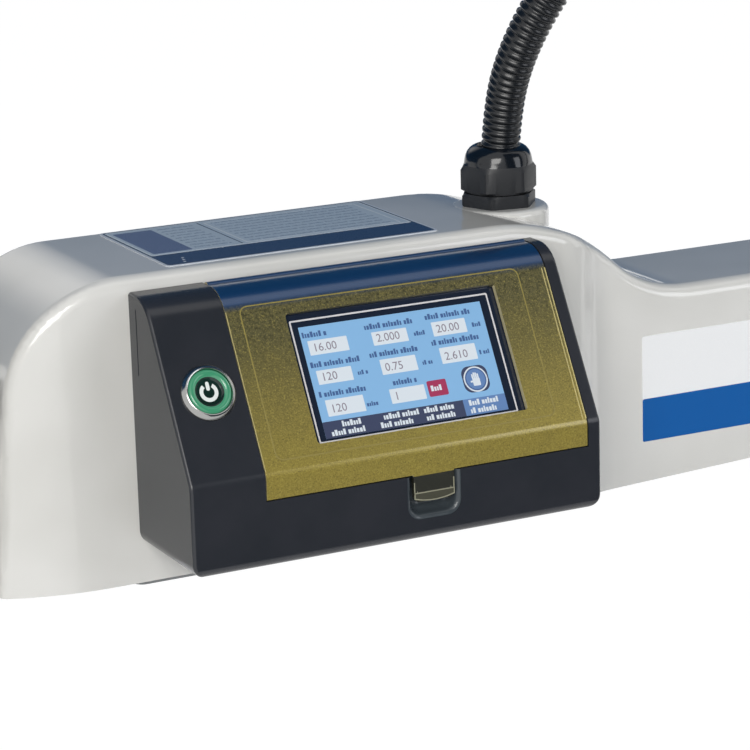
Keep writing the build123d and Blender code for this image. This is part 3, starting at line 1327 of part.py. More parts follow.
def servo_drive():
    """The motor's servo drive under the casting's top, its fins towards the casting's back."""
    length, width, height = DRIVE
    x0 = PANEL_X + BOARD_X + DRIVE_AT
    z1 = BOX_TOP_Z - CAST_WALL
    z0 = z1 - height
    y0 = -width / 2 - DRIVE_SHIFT
    drive = span((x0, y0, z0), (x0 + length, y0 + width - FIN_H, z1))
    pitch = (length - FIN_T) / (DRIVE_FINS - 1)
    for i in range(DRIVE_FINS):
        x = x0 + i * pitch
        drive += span((x, y0 + width - FIN_H, z0 + DRIVE_FOOT), (x + FIN_T, y0 + width, z1))
    return drive


def terminal_block():
    length, width, height = TERMINAL
    x0 = PANEL_X + BOARD_X + DRIVE_AT + DRIVE[0] + DRIVE_CLEARANCE
    z0 = BOX_TOP_Z - CAST_WALL - height
    block = span((x0, -length / 2, z0), (x0 + width, length / 2, z0 + height))
    pitch = length / TERMINAL_WAYS
    for i in range(TERMINAL_WAYS):
        y = -length / 2 + pitch * (i + 0.5)
        block -= rod_x(x0 + width - TERMINAL_BORE[1], x0 + width + 1, y, z0 + height / 2, TERMINAL_BORE[0])
    return block


# ---------------------------------------------------------------- tilting head
def head_axis():
    """Row X of the spindle and row Z of the tilt axis."""
    return SPINDLE_X, PANEL_Z + TILT_Z


def tilt_shaft():
    _, z = head_axis()
    x0 = PANEL_X + TILT_BOSS_END - GAP - DISC_T + TILT_SEAT
    x1 = PANEL_X + END_FOOT + END_WALL + TILT_NUT_T + EDGE
    return group([rod_x(x0, x1, 0, z, TILT_SHAFT_R), tilt_nut()])


def tilt_nut():
    _, z = head_axis()
    x0 = PANEL_X + END_FOOT + END_WALL + NUT_CLEARANCE
    nut = rod_x(x0, x0 + TILT_NUT_T, 0, z, TILT_NUT_R)
    nut -= rod_x(x0 - 1, x0 + TILT_NUT_T + 1, 0, z, TILT_SHAFT_R)
    for turn in range(4):
        slot = Pos(0, TILT_NUT_R, 0) * Box(4 * TILT_NUT_T, TILT_NUT_SLOT, TILT_NUT_SLOT)
        nut -= Pos(x0, 0, z) * Rot(90 * turn, 0, 0) * slot
    return nut


def tilt_bushes():
    _, z = head_axis()
    outer = PANEL_X + TILT_BOSS_END
    inner = PANEL_X + END_FOOT + END_WALL
    bushes = []
    for x0 in (outer, inner - TILT_BUSH_L):
        bush = rod_x(x0, x0 + TILT_BUSH_L, 0, z, TILT_BUSH_R)
        bushes.append(bush - rod_x(x0 - 1, x0 + TILT_BUSH_L + 1, 0, z, TILT_SHAFT_R + RUN))
    return group(bushes)


def head_bracket():
    """The bracket that tilts: a disc on the tilt shaft, a web and the spindle barrel."""
    x, z = head_axis()
    disc_x1 = PANEL_X + TILT_BOSS_END - GAP
    disc_x0 = disc_x1 - DISC_T
    disc = rod_x(disc_x0, disc_x1, 0, z, DISC_R)
    disc = fillet(disc.edges().group_by(Axis.X)[0], DISC_EDGE)
    web = span((x, -WEB_W / 2, z - WEB_H / 2), (disc_x0 + DISC_EDGE + 1, WEB_W / 2, z + WEB_H / 2))
    web = fillet(web.edges().filter_by(Axis.X), WEB_ROUND)
    barrel = rod_z(x, 0, PANEL_Z + BARREL_BOTTOM, PANEL_Z + BARREL_TOP, BARREL_R)
    seat_z = PANEL_Z + BARREL_TOP
    half = MOTOR_SEAT / 2
    seat = span((x - half, -half, seat_z), (x + half, half, seat_z + MOTOR_SEAT_T))
    seat = fillet(seat.edges().filter_by(Axis.Z), MOTOR_CORNER_R)
    lug_z = handle_z()
    lug = rod_y(x + GRIP_BAR_X, -LUG_W / 2, LUG_W / 2, lug_z, LUG_R)
    lug += span((x + GRIP_BAR_X, -LUG_W / 2, lug_z - LUG_R), (x, LUG_W / 2, lug_z + LUG_R))
    lug += span((x + GRIP_BAR_X - LUG_R, -LUG_W / 2, lug_z),
                (x, LUG_W / 2, PANEL_Z + BARREL_BOTTOM + POD_Z + 2 * LUG_R + POD_LUG_OUT))
    bracket = disc + web + barrel + seat + lug
    bracket -= rod_z(x, 0, PANEL_Z + BARREL_BOTTOM - 1, seat_z + MOTOR_SEAT_T + 1, BARREL_BORE_R)
    bracket -= rod_y(x + GRIP_BAR_X, -LUG_W, LUG_W, lug_z, GRIP_BAR_R)
    bracket -= rod_x(disc_x0 + TILT_SEAT, disc_x1 + 1, 0, z, TILT_SHAFT_R)
    for place in motor_screw_places():
        hole = Cylinder(MOTOR_SCREW_R, 2 * MOTOR_SCREW_GRIP + 2)
        bracket -= place * Pos(0, 0, seat_z + MOTOR_SEAT_T) * hole
    return bracket


def motor_screw_places():
    spacing = MOTOR_SCREW_SPACING
    return [Pos(SPINDLE_X, 0, 0) * p for p in GridLocations(spacing, spacing, 2, 2)]


def motor_base():
    return PANEL_Z + BARREL_TOP + MOTOR_SEAT_T


def motor_housing():
    x, z = SPINDLE_X, motor_base()
    half = MOTOR_SIDE / 2
    case = span((x - half, -half, z), (x + half, half, z + MOTOR_L))
    case = fillet(case.edges().filter_by(Axis.Z), MOTOR_CORNER_R)
    case -= rod_z(x, 0, z + MOTOR_END_T, z + MOTOR_L + 1, STATOR_R)
    case -= rod_z(x, 0, z - 1, z + MOTOR_BEARING_W, MOTOR_BEARING_R)
    case -= rod_z(x, 0, z - 1, z + MOTOR_END_T + 1, ROTOR_SHAFT_R + SHAFT_PLAY)
    for place in motor_screw_places():
        case -= place * Pos(0, 0, z) * Cylinder(MOTOR_SCREW_R, 2 * MOTOR_L + 2)
    return case


def motor_end_cap():
    """The motor's end cap over its encoder, with the plug seat on its back."""
    x, z = SPINDLE_X, motor_base() + MOTOR_L
    half = MOTOR_SIDE / 2
    cap = span((x - half, -half, z), (x + half, half, z + MOTOR_CAP_L))
    cap = fillet(cap.edges().filter_by(Axis.Z), MOTOR_CORNER_R)
    cap = fillet(cap.faces().sort_by(Axis.Z)[-1].edges(), MOTOR_CAP_ROUND)
    cap -= rod_z(x, 0, z + MOTOR_END_T, z + MOTOR_CAP_L - MOTOR_WALL, half - MOTOR_WALL)
    cap -= rod_z(x, 0, z - 1, z + MOTOR_BEARING_W + SCREW_SHY, MOTOR_BEARING_R)
    cap -= rod_z(x, 0, z, z + MOTOR_END_T + 1, ROTOR_SHAFT_R + SHAFT_PLAY)
    for place in motor_screw_places():
        cap -= place * Pos(0, 0, z) * Cylinder(MOTOR_SCREW_R, 2 * MOTOR_SCREW_HEAD_L)
    return cap + motor_connector()


def motor_connector():
    """The motor's plug seat on the end cap's back, pointing up."""
    x, y = SPINDLE_X, MOTOR_SIDE / 2
    wide, deep, high = MOTOR_PLUG
    z0 = motor_base() + MOTOR_L + MOTOR_PLUG_Z
    top = z0 + high
    block = span((x - wide / 2, y, z0), (x + wide / 2, y + deep, top))
    block = fillet(block.edges().filter_by(Axis.Z).group_by(Axis.Y)[-1], MOTOR_PLUG_ROUND)
    r, length = MOTOR_SOCKET
    bore_r, bore_l = MOTOR_SOCKET_BORE
    y += MOTOR_SOCKET_Y
    block += rod_z(x, y, top, top + length, r)
    block -= rod_z(x, y, top + length - bore_l, top + length + 1, bore_r)
    pin_r, pin_l = MOTOR_PIN
    pin_z = top + length - bore_l + pin_l / 2
    for place in PolarLocations(MOTOR_PIN_PCD / 2, 3, start_angle=90):
        block += Pos(x, y, pin_z) * place * Cylinder(pin_r, pin_l)
    return block


def motor_screws():
    z = motor_base()
    screws = []
    for place in motor_screw_places():
        px, py = place.position.X, place.position.Y
        top = z + MOTOR_L + MOTOR_SCREW_HEAD_L
        screws.append(rod_z(px, py, z - MOTOR_SCREW_GRIP, top, MOTOR_SCREW_R))
    return group(screws)


def stator():
    """The motor's iron ring with its winding heads."""
    x, z = SPINDLE_X, motor_base()
    z0, z1 = z + MOTOR_END_T + STATOR_LOW, z + MOTOR_L - STATOR_HIGH
    ring = rod_z(x, 0, z0, z1, STATOR_R) - rod_z(x, 0, z0 - 1, z1 + 1, STATOR_BORE_R)
    for a, b in ((z0 - WINDING_LOW, z0), (z1, z1 + WINDING_HIGH)):
        winding = rod_z(x, 0, a, b, STATOR_R - WINDING_IN)
        ring += winding - rod_z(x, 0, a - 1, b + 1, STATOR_BORE_R + WINDING_IN)
    return ring


def motor_bearings():
    z = motor_base()
    r_in = ROTOR_SHAFT_R + RUN
    low = z
    high = z + MOTOR_L + SCREW_SHY
    return [bearing_z(SPINDLE_X, 0, at_z, MOTOR_BEARING_W, MOTOR_BEARING_R, r_in) for at_z in (low, high)]


def rotor():
    """The motor's rotor: a magnet drum on its shaft, with the encoder disc above."""
    x, z = SPINDLE_X, motor_base()
    drum = rod_z(x, 0, z + MOTOR_END_T + STATOR_LOW, z + MOTOR_L - STATOR_HIGH, ROTOR_R)
    shaft = rod_z(x, 0, z - ROTOR_STUB, z + MOTOR_L + ROTOR_TAIL, ROTOR_SHAFT_R)
    disc_r, disc_z, disc_t = ENCODER
    encoder = rod_z(x, 0, z + MOTOR_L + disc_z, z + MOTOR_L + disc_z + disc_t, disc_r)
    return drum + shaft + encoder


def shaft_coupling():
    """The clamp that joins the rotor's shaft to the spindle."""
    x, z1 = SPINDLE_X, motor_base() - GAP
    z0 = z1 - COUPLING_L
    sleeve = rod_z(x, 0, z0, z1, COUPLING_R) - rod_z(x, 0, z0 - 1, z1 + 1, ROTOR_SHAFT_R)
    half = COUPLING_SLIT / 2
    return sleeve - span((x, -half, z0 - 1), (x + COUPLING_R + 1, half, z1 + 1))


def spindle_shaft():
    """The spindle, and the clamp coupling on its stub that the rotor turns it by."""
    x = SPINDLE_X
    z_stub = motor_base() - ROTOR_STUB
    top = PANEL_Z + BARREL_TOP - SPINDLE_DROP
    shaft = rod_z(x, 0, top, z_stub, ROTOR_SHAFT_R)
    shaft += rod_z(x, 0, PANEL_Z + CHUCK_TOP, top, SPINDLE_R)
    return group([shaft, shaft_coupling()])


def spindle_bearings():
    r_in = SPINDLE_R + RUN
    high = PANEL_Z + BARREL_TOP - SPINDLE_DROP - SPINDLE_BEARING_W - SWIVEL_BEARING_DROP
    low = PANEL_Z + BARREL_BOTTOM
    return [bearing_z(SPINDLE_X, 0, at_z, SPINDLE_BEARING_W, BARREL_BORE_R, r_in) for at_z in (low, high)]


def head_bearings():
    """The ball bearings of the motor and of the spindle."""
    return group(motor_bearings() + spindle_bearings())


def bearing_cover():
    """The ring that closes the barrel below its lower bearing."""
    z = PANEL_Z + BARREL_BOTTOM
    ring = rod_z(SPINDLE_X, 0, z - COVER_RING_T, z, BARREL_R)
    ring = chamfer(ring.edges().group_by(Axis.Z)[0], COVER_RING_EDGE)
    return ring - rod_z(SPINDLE_X, 0, z - 2 * COVER_RING_T, z + 1, SPINDLE_R + COVER_RING_PLAY)


def chuck_body():
    """The quick-change chuck: a socket for a tap holder, locked by two balls."""
    x = SPINDLE_X
    z0, z1 = PANEL_Z + CHUCK_BOTTOM, PANEL_Z + CHUCK_TOP
    body = rod_z(x, 0, z0, z1, CHUCK_R)
    collar_z = z0 + SLEEVE_STOP_T + SLEEVE_L + SLEEVE_TRAVEL + COLLAR_GAP
    body += rod_z(x, 0, collar_z, z1, SLEEVE_R)
    body = chamfer(body.edges().group_by(Axis.Z)[-1], EDGE)
    body -= rod_z(x, 0, z0 - 1, z0 + SOCKET_DEPTH, SOCKET_R)
    body -= rod_x(x - CHUCK_R - 1, x + CHUCK_R + 1, 0, z0 + BALL_Z, BALL_R + BALL_PLAY)
    return body


def detent_balls():
    reach = SOCKET_R + BALL_R + BALL_STAND
    z = PANEL_Z + CHUCK_BOTTOM + BALL_Z
    return [Pos(SPINDLE_X + side * reach, 0, z) * Sphere(BALL_R) for side in (-1, 1)]


def chuck_keepers():
    """The two detent balls and the sleeve's stop ring."""
    return group(detent_balls() + [sleeve_ring()])


def sleeve_ring():
    """The stop ring at the chuck's mouth that keeps the sleeve on."""
    z = PANEL_Z + CHUCK_BOTTOM
    ring = rod_z(SPINDLE_X, 0, z, z + SLEEVE_STOP_T - SCREW_SHY, CHUCK_R + SLEEVE_STOP_OUT)
    return ring - rod_z(SPINDLE_X, 0, z - 1, z + SLEEVE_STOP_T, CHUCK_R)


def chuck_sleeve():
    """The knurled sleeve that is pushed up to free the tap holder."""
    z0 = PANEL_Z + CHUCK_BOTTOM + SLEEVE_STOP_T
    sleeve = rod_z(SPINDLE_X, 0, z0, z0 + SLEEVE_L, SLEEVE_R)
    sleeve = chamfer(sleeve.edges(), SLEEVE_EDGE)
    return sleeve - rod_z(SPINDLE_X, 0, z0 - 1, z0 + SLEEVE_L + 1, CHUCK_R + RUN)


def handle_z():
    return PANEL_Z + BARREL_BOTTOM + LUG_R + LUG_DROP


def handle_bar():
    x = SPINDLE_X + GRIP_BAR_X
    bar = rod_y(x, -GRIP_BAR_HALF, GRIP_BAR_HALF, handle_z(), GRIP_BAR_R)
    return chamfer(bar.edges(), BAR_EDGE)


def handle_grips():
    """The two grips, waisted for the fingers, closed over the bar's ends."""
    x = SPINDLE_X + GRIP_BAR_X
    grips = []
    for side in (-1, 1):
        y0, y1 = sorted((side * GRIP_START, side * (GRIP_BAR_HALF + GRIP_END_T)))
        grip = rod_y(x, y0, y1, handle_z(), GRIP_R)
        grip = fillet(grip.edges(), GRIP_ROUND)
        grips.append(grip - rod_y(x, -GRIP_BAR_HALF, GRIP_BAR_HALF, handle_z(), GRIP_BAR_R))
    return group(grips)


def pod_faces():
    """Lowest and highest corners of the button pod, on the lug in front of the barrel."""
    depth, width, height = POD
    x1 = SPINDLE_X + GRIP_BAR_X - LUG_R
    z0 = handle_z() + POD_WALL
    return (x1 - depth, -width / 2, z0), (x1, width / 2, z0 + height)


def button_pod():
    low, high = pod_faces()
    pod = span(low, high)
    pod = fillet(pod.edges().filter_by(Axis.X), POD_CORNER_R)
    pod = fillet(pod.faces().sort_by(Axis.X)[0].edges(), POD_FRONT_ROUND)
    inner_low = [v + POD_WALL for v in low]
    inner_high = [v - POD_WALL for v in high]
    pod -= span(inner_low, inner_high)
    for side in (-1, 1):
        pod -= rod_x(low[0] - 1, low[0] + POD_WALL + 1, side * POD_BUTTON_Y, (low[2] + high[2]) / 2,
                     POD_BUTTON_R + POD_BUTTON_PLAY)
    return pod


def pod_button(side):
    """A push button in the pod's front: a cap with a flange behind the wall."""
    low, high = pod_faces()
    y, z = side * POD_BUTTON_Y, (low[2] + high[2]) / 2
    inner = low[0] + POD_WALL
    cap = rod_x(low[0] - POD_BUTTON_OUT, inner + POD_FLANGE_T, y, z, POD_BUTTON_R)
    cap = fillet(cap.edges().group_by(Axis.X)[0], POD_BUTTON_ROUND)
    x0 = inner + POD_BUTTON_PLAY
    return cap + rod_x(x0, x0 + POD_FLANGE_T, y, z, POD_BUTTON_R + POD_FLANGE)


# ---------------------------------------------------------------- lock levers
def lock_lever(seat, tip):
    """A clamp lever along +Z of its own frame: stud below its seat, hub, arm and knob above."""
    lever = rod_z(0, 0, -(seat - tip), 0, LEVER_STUD_R)
    hub = rod_z(0, 0, LEVER_LIFT, LEVER_HUB_H, LEVER_HUB_R)
    lever += fillet(hub.edges().group_by(Axis.Z)[-1], LEVER_ROUND)
    lever += rod_z(0, 0, 0, LEVER_LIFT, LEVER_STUD_R)
    rise = Plane(origin=(0, 0, LEVER_HUB_H / 2), z_dir=(1, 0, LEVER_RISE))
    lever += extrude(rise * Circle(LEVER_ARM_R), LEVER_ARM_L)
    lever += rise * Pos(0, 0, LEVER_ARM_L) * Sphere(LEVER_KNOB_R)
    return lever


def column_lock():
    place = Plane(origin=(0, -COLUMN_R, COLUMN_LOCK_Z), x_dir=(0, 0, -1), z_dir=(0, -1, 0))
    return place * lock_lever(COLUMN_R, SWIVEL_SHAFT_R + LEVER_TIP_GAP)


def elbow_lock():
    place = Plane(origin=(ELBOW_X, -ELBOW_BOSS_R, PANEL_Z + ELBOW_LOCK_Z), x_dir=(1, 0, 0), z_dir=(0, -1, 0))
    return place * lock_lever(ELBOW_BOSS_R, ELBOW_SHAFT_R + LEVER_TIP_GAP)


def tilt_lock():
    place = Plane(origin=(PANEL_X + TILT_LOCK_X, 0, PANEL_Z + TILT_Z + TILT_BOSS_R), x_dir=(0, 1, 0),
                  z_dir=(0, 0, 1))
    return place * lock_lever(TILT_BOSS_R, TILT_SHAFT_R + LEVER_TIP_GAP)


def all_parts():
    return {
        "base_plate": base_plate(),
        "column_post": column_post(),
        "column_screws": column_screws(),
        "column_bearings": column_bearings(),
        "mains_inlet": mains_inlet(),
        "column_lock_lever": column_lock(),
        "swivel_hub": swivel_hub(),
        "swivel_shaft": swivel_shaft(),
        "hub_pins": hub_pins(),
        "lower_link": lower_link(),
        "lower_link_bushes": lower_link_bushes(),
        "upper_link": upper_link(),
        "upper_link_fittings": upper_link_fittings(),
        "spring_cylinder": spring_cylinder(),
        "spring_rod": spring_rod(),
        "knuckle": knuckle(),
        "knuckle_pins": knuckle_pins(),
        "elbow_shaft": elbow_shaft(),
        "elbow_bearings": elbow_bearings(),
        "elbow_cap": elbow_cap(),
        "elbow_lock_lever": elbow_lock(),
        "arm_casting": arm_casting(),
        "bottom_cover": bottom_cover(),
        "housing_screws": housing_screws(),
        "panel_housing": panel_housing(),
        "hinge_pin": hinge_pin(),
        "flip_cover": flip_cover(),
        "display_unit": display_unit(),
        "display_glass": display_glass(),
        "power_bezel": power_bezel(),
        "power_switch": power_switch(),
        "power_cap": power_cap(),
        "cable_glands": cable_glands(),
        "signal_conduit": signal_conduit(),
        "top_label": top_label(),
        "name_plate": name_plate(),
        "control_board": control_board(),
        "servo_drive": servo_drive(),
        "terminal_block": terminal_block(),
        "tilt_bushes": tilt_bushes(),
        "tilt_shaft": tilt_shaft(),
        "tilt_lock_lever": tilt_lock(),
        "head_bracket": head_bracket(),
        "motor_housing": motor_housing(),
        "motor_end_cap": motor_end_cap(),
        "motor_screws": motor_screws(),
        "stator": stator(),
        "head_bearings": head_bearings(),
        "bearing_cover": bearing_cover(),
        "rotor": rotor(),
        "spindle_shaft": spindle_shaft(),
        "chuck_body": chuck_body(),
        "chuck_keepers": chuck_keepers(),
        "chuck_sleeve": chuck_sleeve(),
        "handle_bar": handle_bar(),
        "handle_grips": handle_grips(),
        "button_pod": button_pod(),
        "start_button": pod_button(-1),
        "reverse_button": pod_button(1),
    }


def main():
    os.makedirs("parts", exist_ok=True)
    for node, shape in all_parts().items():
        export_step(shape, f"parts/{node}.step")
        print(node, round(shape.volume))


main()
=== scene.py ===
"""Arm tapping machine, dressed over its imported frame.

Sizes in the dataclasses are millimetres, meshes are metres. Row frame: the column stands on the
origin, the arms reach out along -X and the control panel faces -Y.
"""
from __future__ import annotations

import json
import logging
import math
from dataclasses import dataclass, field
from enum import Enum
from typing import Callable, Sequence

import bmesh
import bpy
from bpy.types import Material, Mesh, Node, NodeSocket, NodeTree, Object
from mathutils import Matrix, Vector

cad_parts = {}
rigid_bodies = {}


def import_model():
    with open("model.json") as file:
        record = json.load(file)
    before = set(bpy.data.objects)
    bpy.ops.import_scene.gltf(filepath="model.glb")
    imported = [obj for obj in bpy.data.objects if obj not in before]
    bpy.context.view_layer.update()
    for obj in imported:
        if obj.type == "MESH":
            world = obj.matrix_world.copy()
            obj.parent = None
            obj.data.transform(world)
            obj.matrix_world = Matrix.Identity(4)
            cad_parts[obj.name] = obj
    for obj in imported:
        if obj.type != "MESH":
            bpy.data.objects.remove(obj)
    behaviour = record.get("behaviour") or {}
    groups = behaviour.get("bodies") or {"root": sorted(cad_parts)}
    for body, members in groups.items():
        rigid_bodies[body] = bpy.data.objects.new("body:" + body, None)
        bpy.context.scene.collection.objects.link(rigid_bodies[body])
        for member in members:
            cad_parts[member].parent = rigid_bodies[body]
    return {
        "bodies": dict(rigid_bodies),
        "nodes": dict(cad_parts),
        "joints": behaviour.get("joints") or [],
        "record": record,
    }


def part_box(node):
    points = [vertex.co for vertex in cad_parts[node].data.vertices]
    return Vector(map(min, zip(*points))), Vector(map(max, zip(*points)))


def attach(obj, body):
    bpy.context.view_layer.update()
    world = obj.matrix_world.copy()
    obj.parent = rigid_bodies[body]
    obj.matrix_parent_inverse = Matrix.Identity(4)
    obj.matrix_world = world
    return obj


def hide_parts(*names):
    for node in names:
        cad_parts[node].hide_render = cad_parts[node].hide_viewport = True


LOG = logging.getLogger("tapping_machine")
MM = 0.001
PRINT_THICKNESS = 0.06
Form = bmesh.types.BMesh
Point2 = tuple[float, float]
Point3 = tuple[float, float, float]
Box = tuple[float, float, float, float]     # left, foot, right, top


class Edge(Enum):
    """How wide the sharp edges of a piece are eased, in millimetres."""

    KEEN = 0.1
    SHEET = 0.2
    MACHINED = 0.3
    MOULDED = 0.5
    CAST = 0.8


# ---------------------------------------------------------------- nodes
def srgb(code: str) -> tuple[float, float, float, float]:
    """Turn a colour written as #rrggbb to linear light, with an alpha of 1."""
    parts = [int(code[i:i + 2], 16) / 255 for i in (1, 3, 5)]
    linear = [c / 12.92 if c <= 0.04045 else ((c + 0.055) / 1.055) ** 2.4 for c in parts]
    return (*linear, 1.0)


def feed(tree: NodeTree, node: Node, inputs: dict) -> None:
    """Fill a node's inputs.

    Args:
        tree: the node's tree.
        node: the node.
        inputs: for an input's name or place, a value, a socket, or a node for its first output.
    """
    for key, value in inputs.items():
        source = value.outputs[0] if isinstance(value, Node) else value
        if isinstance(source, NodeSocket):
            tree.links.new(source, node.inputs[key])
        else:
            node.inputs[key].default_value = source


def add_node(tree: NodeTree, kind: str, inputs: dict | None = None, **settings) -> Node:
    """Add a node, set it up and join it to what feeds it.

    Args:
        tree: the tree that the node goes in.
        kind: the node's type.
        inputs: what feeds its inputs.
        **settings: the node's own properties, set before its inputs.

    Returns:
        The new node.
    """
    node = tree.nodes.new(kind)
    for name, value in settings.items():
        setattr(node, name, value)
    feed(tree, node, inputs or {})
    return node


def blend(tree: NodeTree, share: Node, start: NodeSocket | str, end: NodeSocket | str) -> NodeSocket:
    """Go from one colour to another, each a hex value or a node's colour, by a node's share."""
    ends = [srgb(c) if isinstance(c, str) else c for c in (start, end)]
    return add_node(tree, "ShaderNodeMix", {0: share, 6: ends[0], 7: ends[1]}, data_type="RGBA").outputs[2]


def pattern(tree: NodeTree, size: float, detail: float, place: Node | None = None,
            roughness: float = 0.5) -> Node:
    """Noise that stays with the piece.

    Args:
        tree: the material's tree.
        size: the width of its features in millimetres.
        detail: its octaves.
        place: what draws the coordinates out, if anything does.
        roughness: how strong the fine octaves are.

    Returns:
        The noise node.
    """
    place = place or add_node(tree, "ShaderNodeTexCoord").outputs["Object"]
    return add_node(tree, "ShaderNodeTexNoise", {"Vector": place, "Scale": 1 / (size * MM),
                                                 "Detail": detail, "Roughness": roughness})


# ---------------------------------------------------------------- finishes
@dataclass(frozen=True)
class Finish:
    """What every finish has: its name, its colour and how rough it is."""

    name: str
    colour: str
    roughness: float = 0.5

    def make(self) -> Material:
        """Build the material once, and return it."""
        material = bpy.data.materials.get(self.name)
        if material is None:
            material = bpy.data.materials.new(self.name)
            material.use_nodes = True
            tree = material.node_tree
            feed(tree, tree.nodes["Principled BSDF"],
                 {"Base Color": srgb(self.colour), "Roughness": self.roughness, **self.dress(tree)})
        return material

    def dress(self, tree: NodeTree) -> dict:
        """What this finish feeds the shader's inputs with."""
        return {}

    def mottle(self, tree: NodeTree, noise: Node, other: str) -> NodeSocket:
        """The colour, drifting to another one in the noise's soft patches."""
        return blend(tree, add_node(tree, "ShaderNodeMapRange", {0: noise, 1: 0.35, 2: 0.65}),
                     self.colour, other)


@dataclass(frozen=True)
class Enamel(Finish):
    """Enamel sprayed on a fettled sand casting: a glossy skin with orange peel, over soft waves."""

    shade: str = "#c9c7c1"
    wave: float = 70.0
    peel: float = 1.6
    peel_depth: float = 0.008
    coat: float = 1.0
    coat_roughness: float = 0.07

    def dress(self, tree: NodeTree) -> dict:
        """Orange peel under a clear gloss."""
        bump = add_node(tree, "ShaderNodeBump",
                        {"Height": pattern(tree, self.peel, 1.5), "Distance": self.peel_depth * MM})
        return {"Base Color": self.mottle(tree, pattern(tree, self.wave, 2.0), self.shade), "Normal": bump,
                "Coat Normal": bump, "Coat Weight": self.coat, "Coat Roughness": self.coat_roughness}


@dataclass(frozen=True)
class Moulded(Finish):
    """A moulded plastic: spark-eroded grain that breaks the gloss into a soft sheen."""

    shade: str = "#202326"
    grain: float = 0.5
    grain_depth: float = 0.02
    drift: float = 28.0

    def dress(self, tree: NodeTree) -> dict:
        """A fine grain, and a little drift of the colour."""
        bump = add_node(tree, "ShaderNodeBump",
                        {"Height": pattern(tree, self.grain, 2.0), "Distance": self.grain_depth * MM})
        return {"Base Color": self.mottle(tree, pattern(tree, self.drift, 3.0), self.shade), "Normal": bump}


@dataclass(frozen=True)
class Metal(Finish):
    """Bare, plated or blackened metal: grain drawn out along one axis by its grinding."""

    grain: Point3 = (1.0, 1.0, 1.0)
    grain_size: float = 0.6
    grain_depth: float = 0.004
    swing: float = 0.12

    def dress(self, tree: NodeTree) -> dict:
        """Brushing that varies both the roughness and the surface."""
        place = add_node(tree, "ShaderNodeTexCoord").outputs["Object"]
        drawn = add_node(tree, "ShaderNodeMapping", {"Vector": place, "Scale": self.grain})
        noise = pattern(tree, self.grain_size, 3.0, drawn)
        gloss = add_node(tree, "ShaderNodeMapRange", {0: noise, 3: max(self.roughness - self.swing, 0.04),
                                                      4: self.roughness + self.swing})
        bump = add_node(tree, "ShaderNodeBump", {"Height": noise, "Distance": self.grain_depth * MM})
        return {"Metallic": 1.0, "Roughness": gloss, "Normal": bump}


@dataclass(frozen=True)
class SpeckledAcrylic(Finish):
    """Tinted acrylic sheet with metal flake in it, bent hot; towards its top bend it has painted shade, and a
    painted blue reflection lies over the bend.

    Its heights are millimetres above the column's foot.
    """

    # Painted shade: the colour that the sheet darkens to towards its top bend, where it faces up.
    painted_top_shade: str = "#6a6541"
    fleck: str = "#c9b75c"
    pit: str = "#5c5530"
    # Painted reflection: the blue that the top bend shows, laid on as colour.
    painted_reflection: str = "#0b3a66"
    crackle: str = "#33331f"
    crackle_size: float = 1.5
    crackle_fade: Point2 = (452.0, 490.0)
    fleck_size: float = 0.7
    fleck_depth: float = 0.004
    # The heights where the painted shade fades in, then where the painted blue reflection starts.
    painted_shade_span: Point2 = (425.0, 490.0)
    painted_reflection_span: Point2 = (490.5, 493.5)
    layer: float = 9.0

    def height(self, tree: NodeTree, span: Point2) -> Node:
        """From 0 at one height to 1 at another."""
        place = add_node(tree, "ShaderNodeTexCoord").outputs["Object"]
        split = add_node(tree, "ShaderNodeSeparateXYZ", {0: place})
        return add_node(tree, "ShaderNodeMapRange",
                        {0: split.outputs["Z"], 1: span[0] * MM, 2: span[1] * MM})

    def dress(self, tree: NodeTree) -> dict:
        """Flecks in the colour, painted shade that darkens it towards the top bend, a painted blue reflection
        over the bend, and a mirror coat.
        """
        flecks = pattern(tree, self.fleck_size, 3.0, roughness=0.7)
        clouds = pattern(tree, self.layer, 3.0)
        veins = pattern(tree, self.crackle_size, 4.0, roughness=0.75)
        light = add_node(tree, "ShaderNodeMapRange", {0: flecks, 1: 0.52, 2: 0.74, 4: 0.8})
        dark = add_node(tree, "ShaderNodeMapRange", {0: flecks, 1: 0.47, 2: 0.28, 4: 0.8})
        drift = add_node(tree, "ShaderNodeMath", {0: clouds, 1: 0.3}, operation="MULTIPLY")
        # Painted shade, darker towards the top bend, drifting with the clouds.
        painted_shade_share = add_node(tree, "ShaderNodeMath", {0: self.height(tree, self.painted_shade_span), 1: drift},
                        operation="ADD")
        vein = add_node(tree, "ShaderNodeMapRange", {0: veins, 1: 0.47, 2: 0.62, 4: 0.8})
        deep = add_node(tree, "ShaderNodeMath", {0: vein, 1: self.height(tree, self.crackle_fade)},
                        operation="MULTIPLY")
        tone = self.colour
        # The last blend lays the painted blue reflection over the top bend.
        for share, colour in ((painted_shade_share, self.painted_top_shade), (light, self.fleck), (dark, self.pit),
                              (deep, self.crackle), (self.height(tree, self.painted_reflection_span), self.painted_reflection)):
            tone = blend(tree, share, tone, colour)
        bump = add_node(tree, "ShaderNodeBump", {"Height": flecks, "Distance": self.fleck_depth * MM})
        return {"Base Color": tone, "Normal": bump, "Coat Weight": 1.0, "Coat Roughness": 0.17,
                "Metallic": 0.3}


@dataclass(frozen=True)
class Lit(Finish):
    """A surface lit from behind, such as a display's ground or a lamp ring: a pixel grid glows."""

    glow: float = 0.6
    pixel: float = 0.2
    gloss: float = 0.5

    def dress(self, tree: NodeTree) -> dict:
        """Glow in the surface's own colour, dimmed a little between the pixels."""
        place = add_node(tree, "ShaderNodeTexCoord").outputs["Object"]
        cells = add_node(tree, "ShaderNodeTexVoronoi",
                         {"Vector": place, "Scale": 1 / (self.pixel * MM), "Randomness": 0.0})
        dim = add_node(tree, "ShaderNodeMapRange", {0: cells, 3: 1.0, 4: 0.9})
        unlit = [c * (1 - self.glow) for c in srgb(self.colour)[:3]]
        return {"Emission Color": blend(tree, dim, "#000000", self.colour), "Emission Strength": self.glow,
                "Base Color": (*unlit, 1.0), "Coat Weight": self.gloss, "Coat Roughness": 0.06}


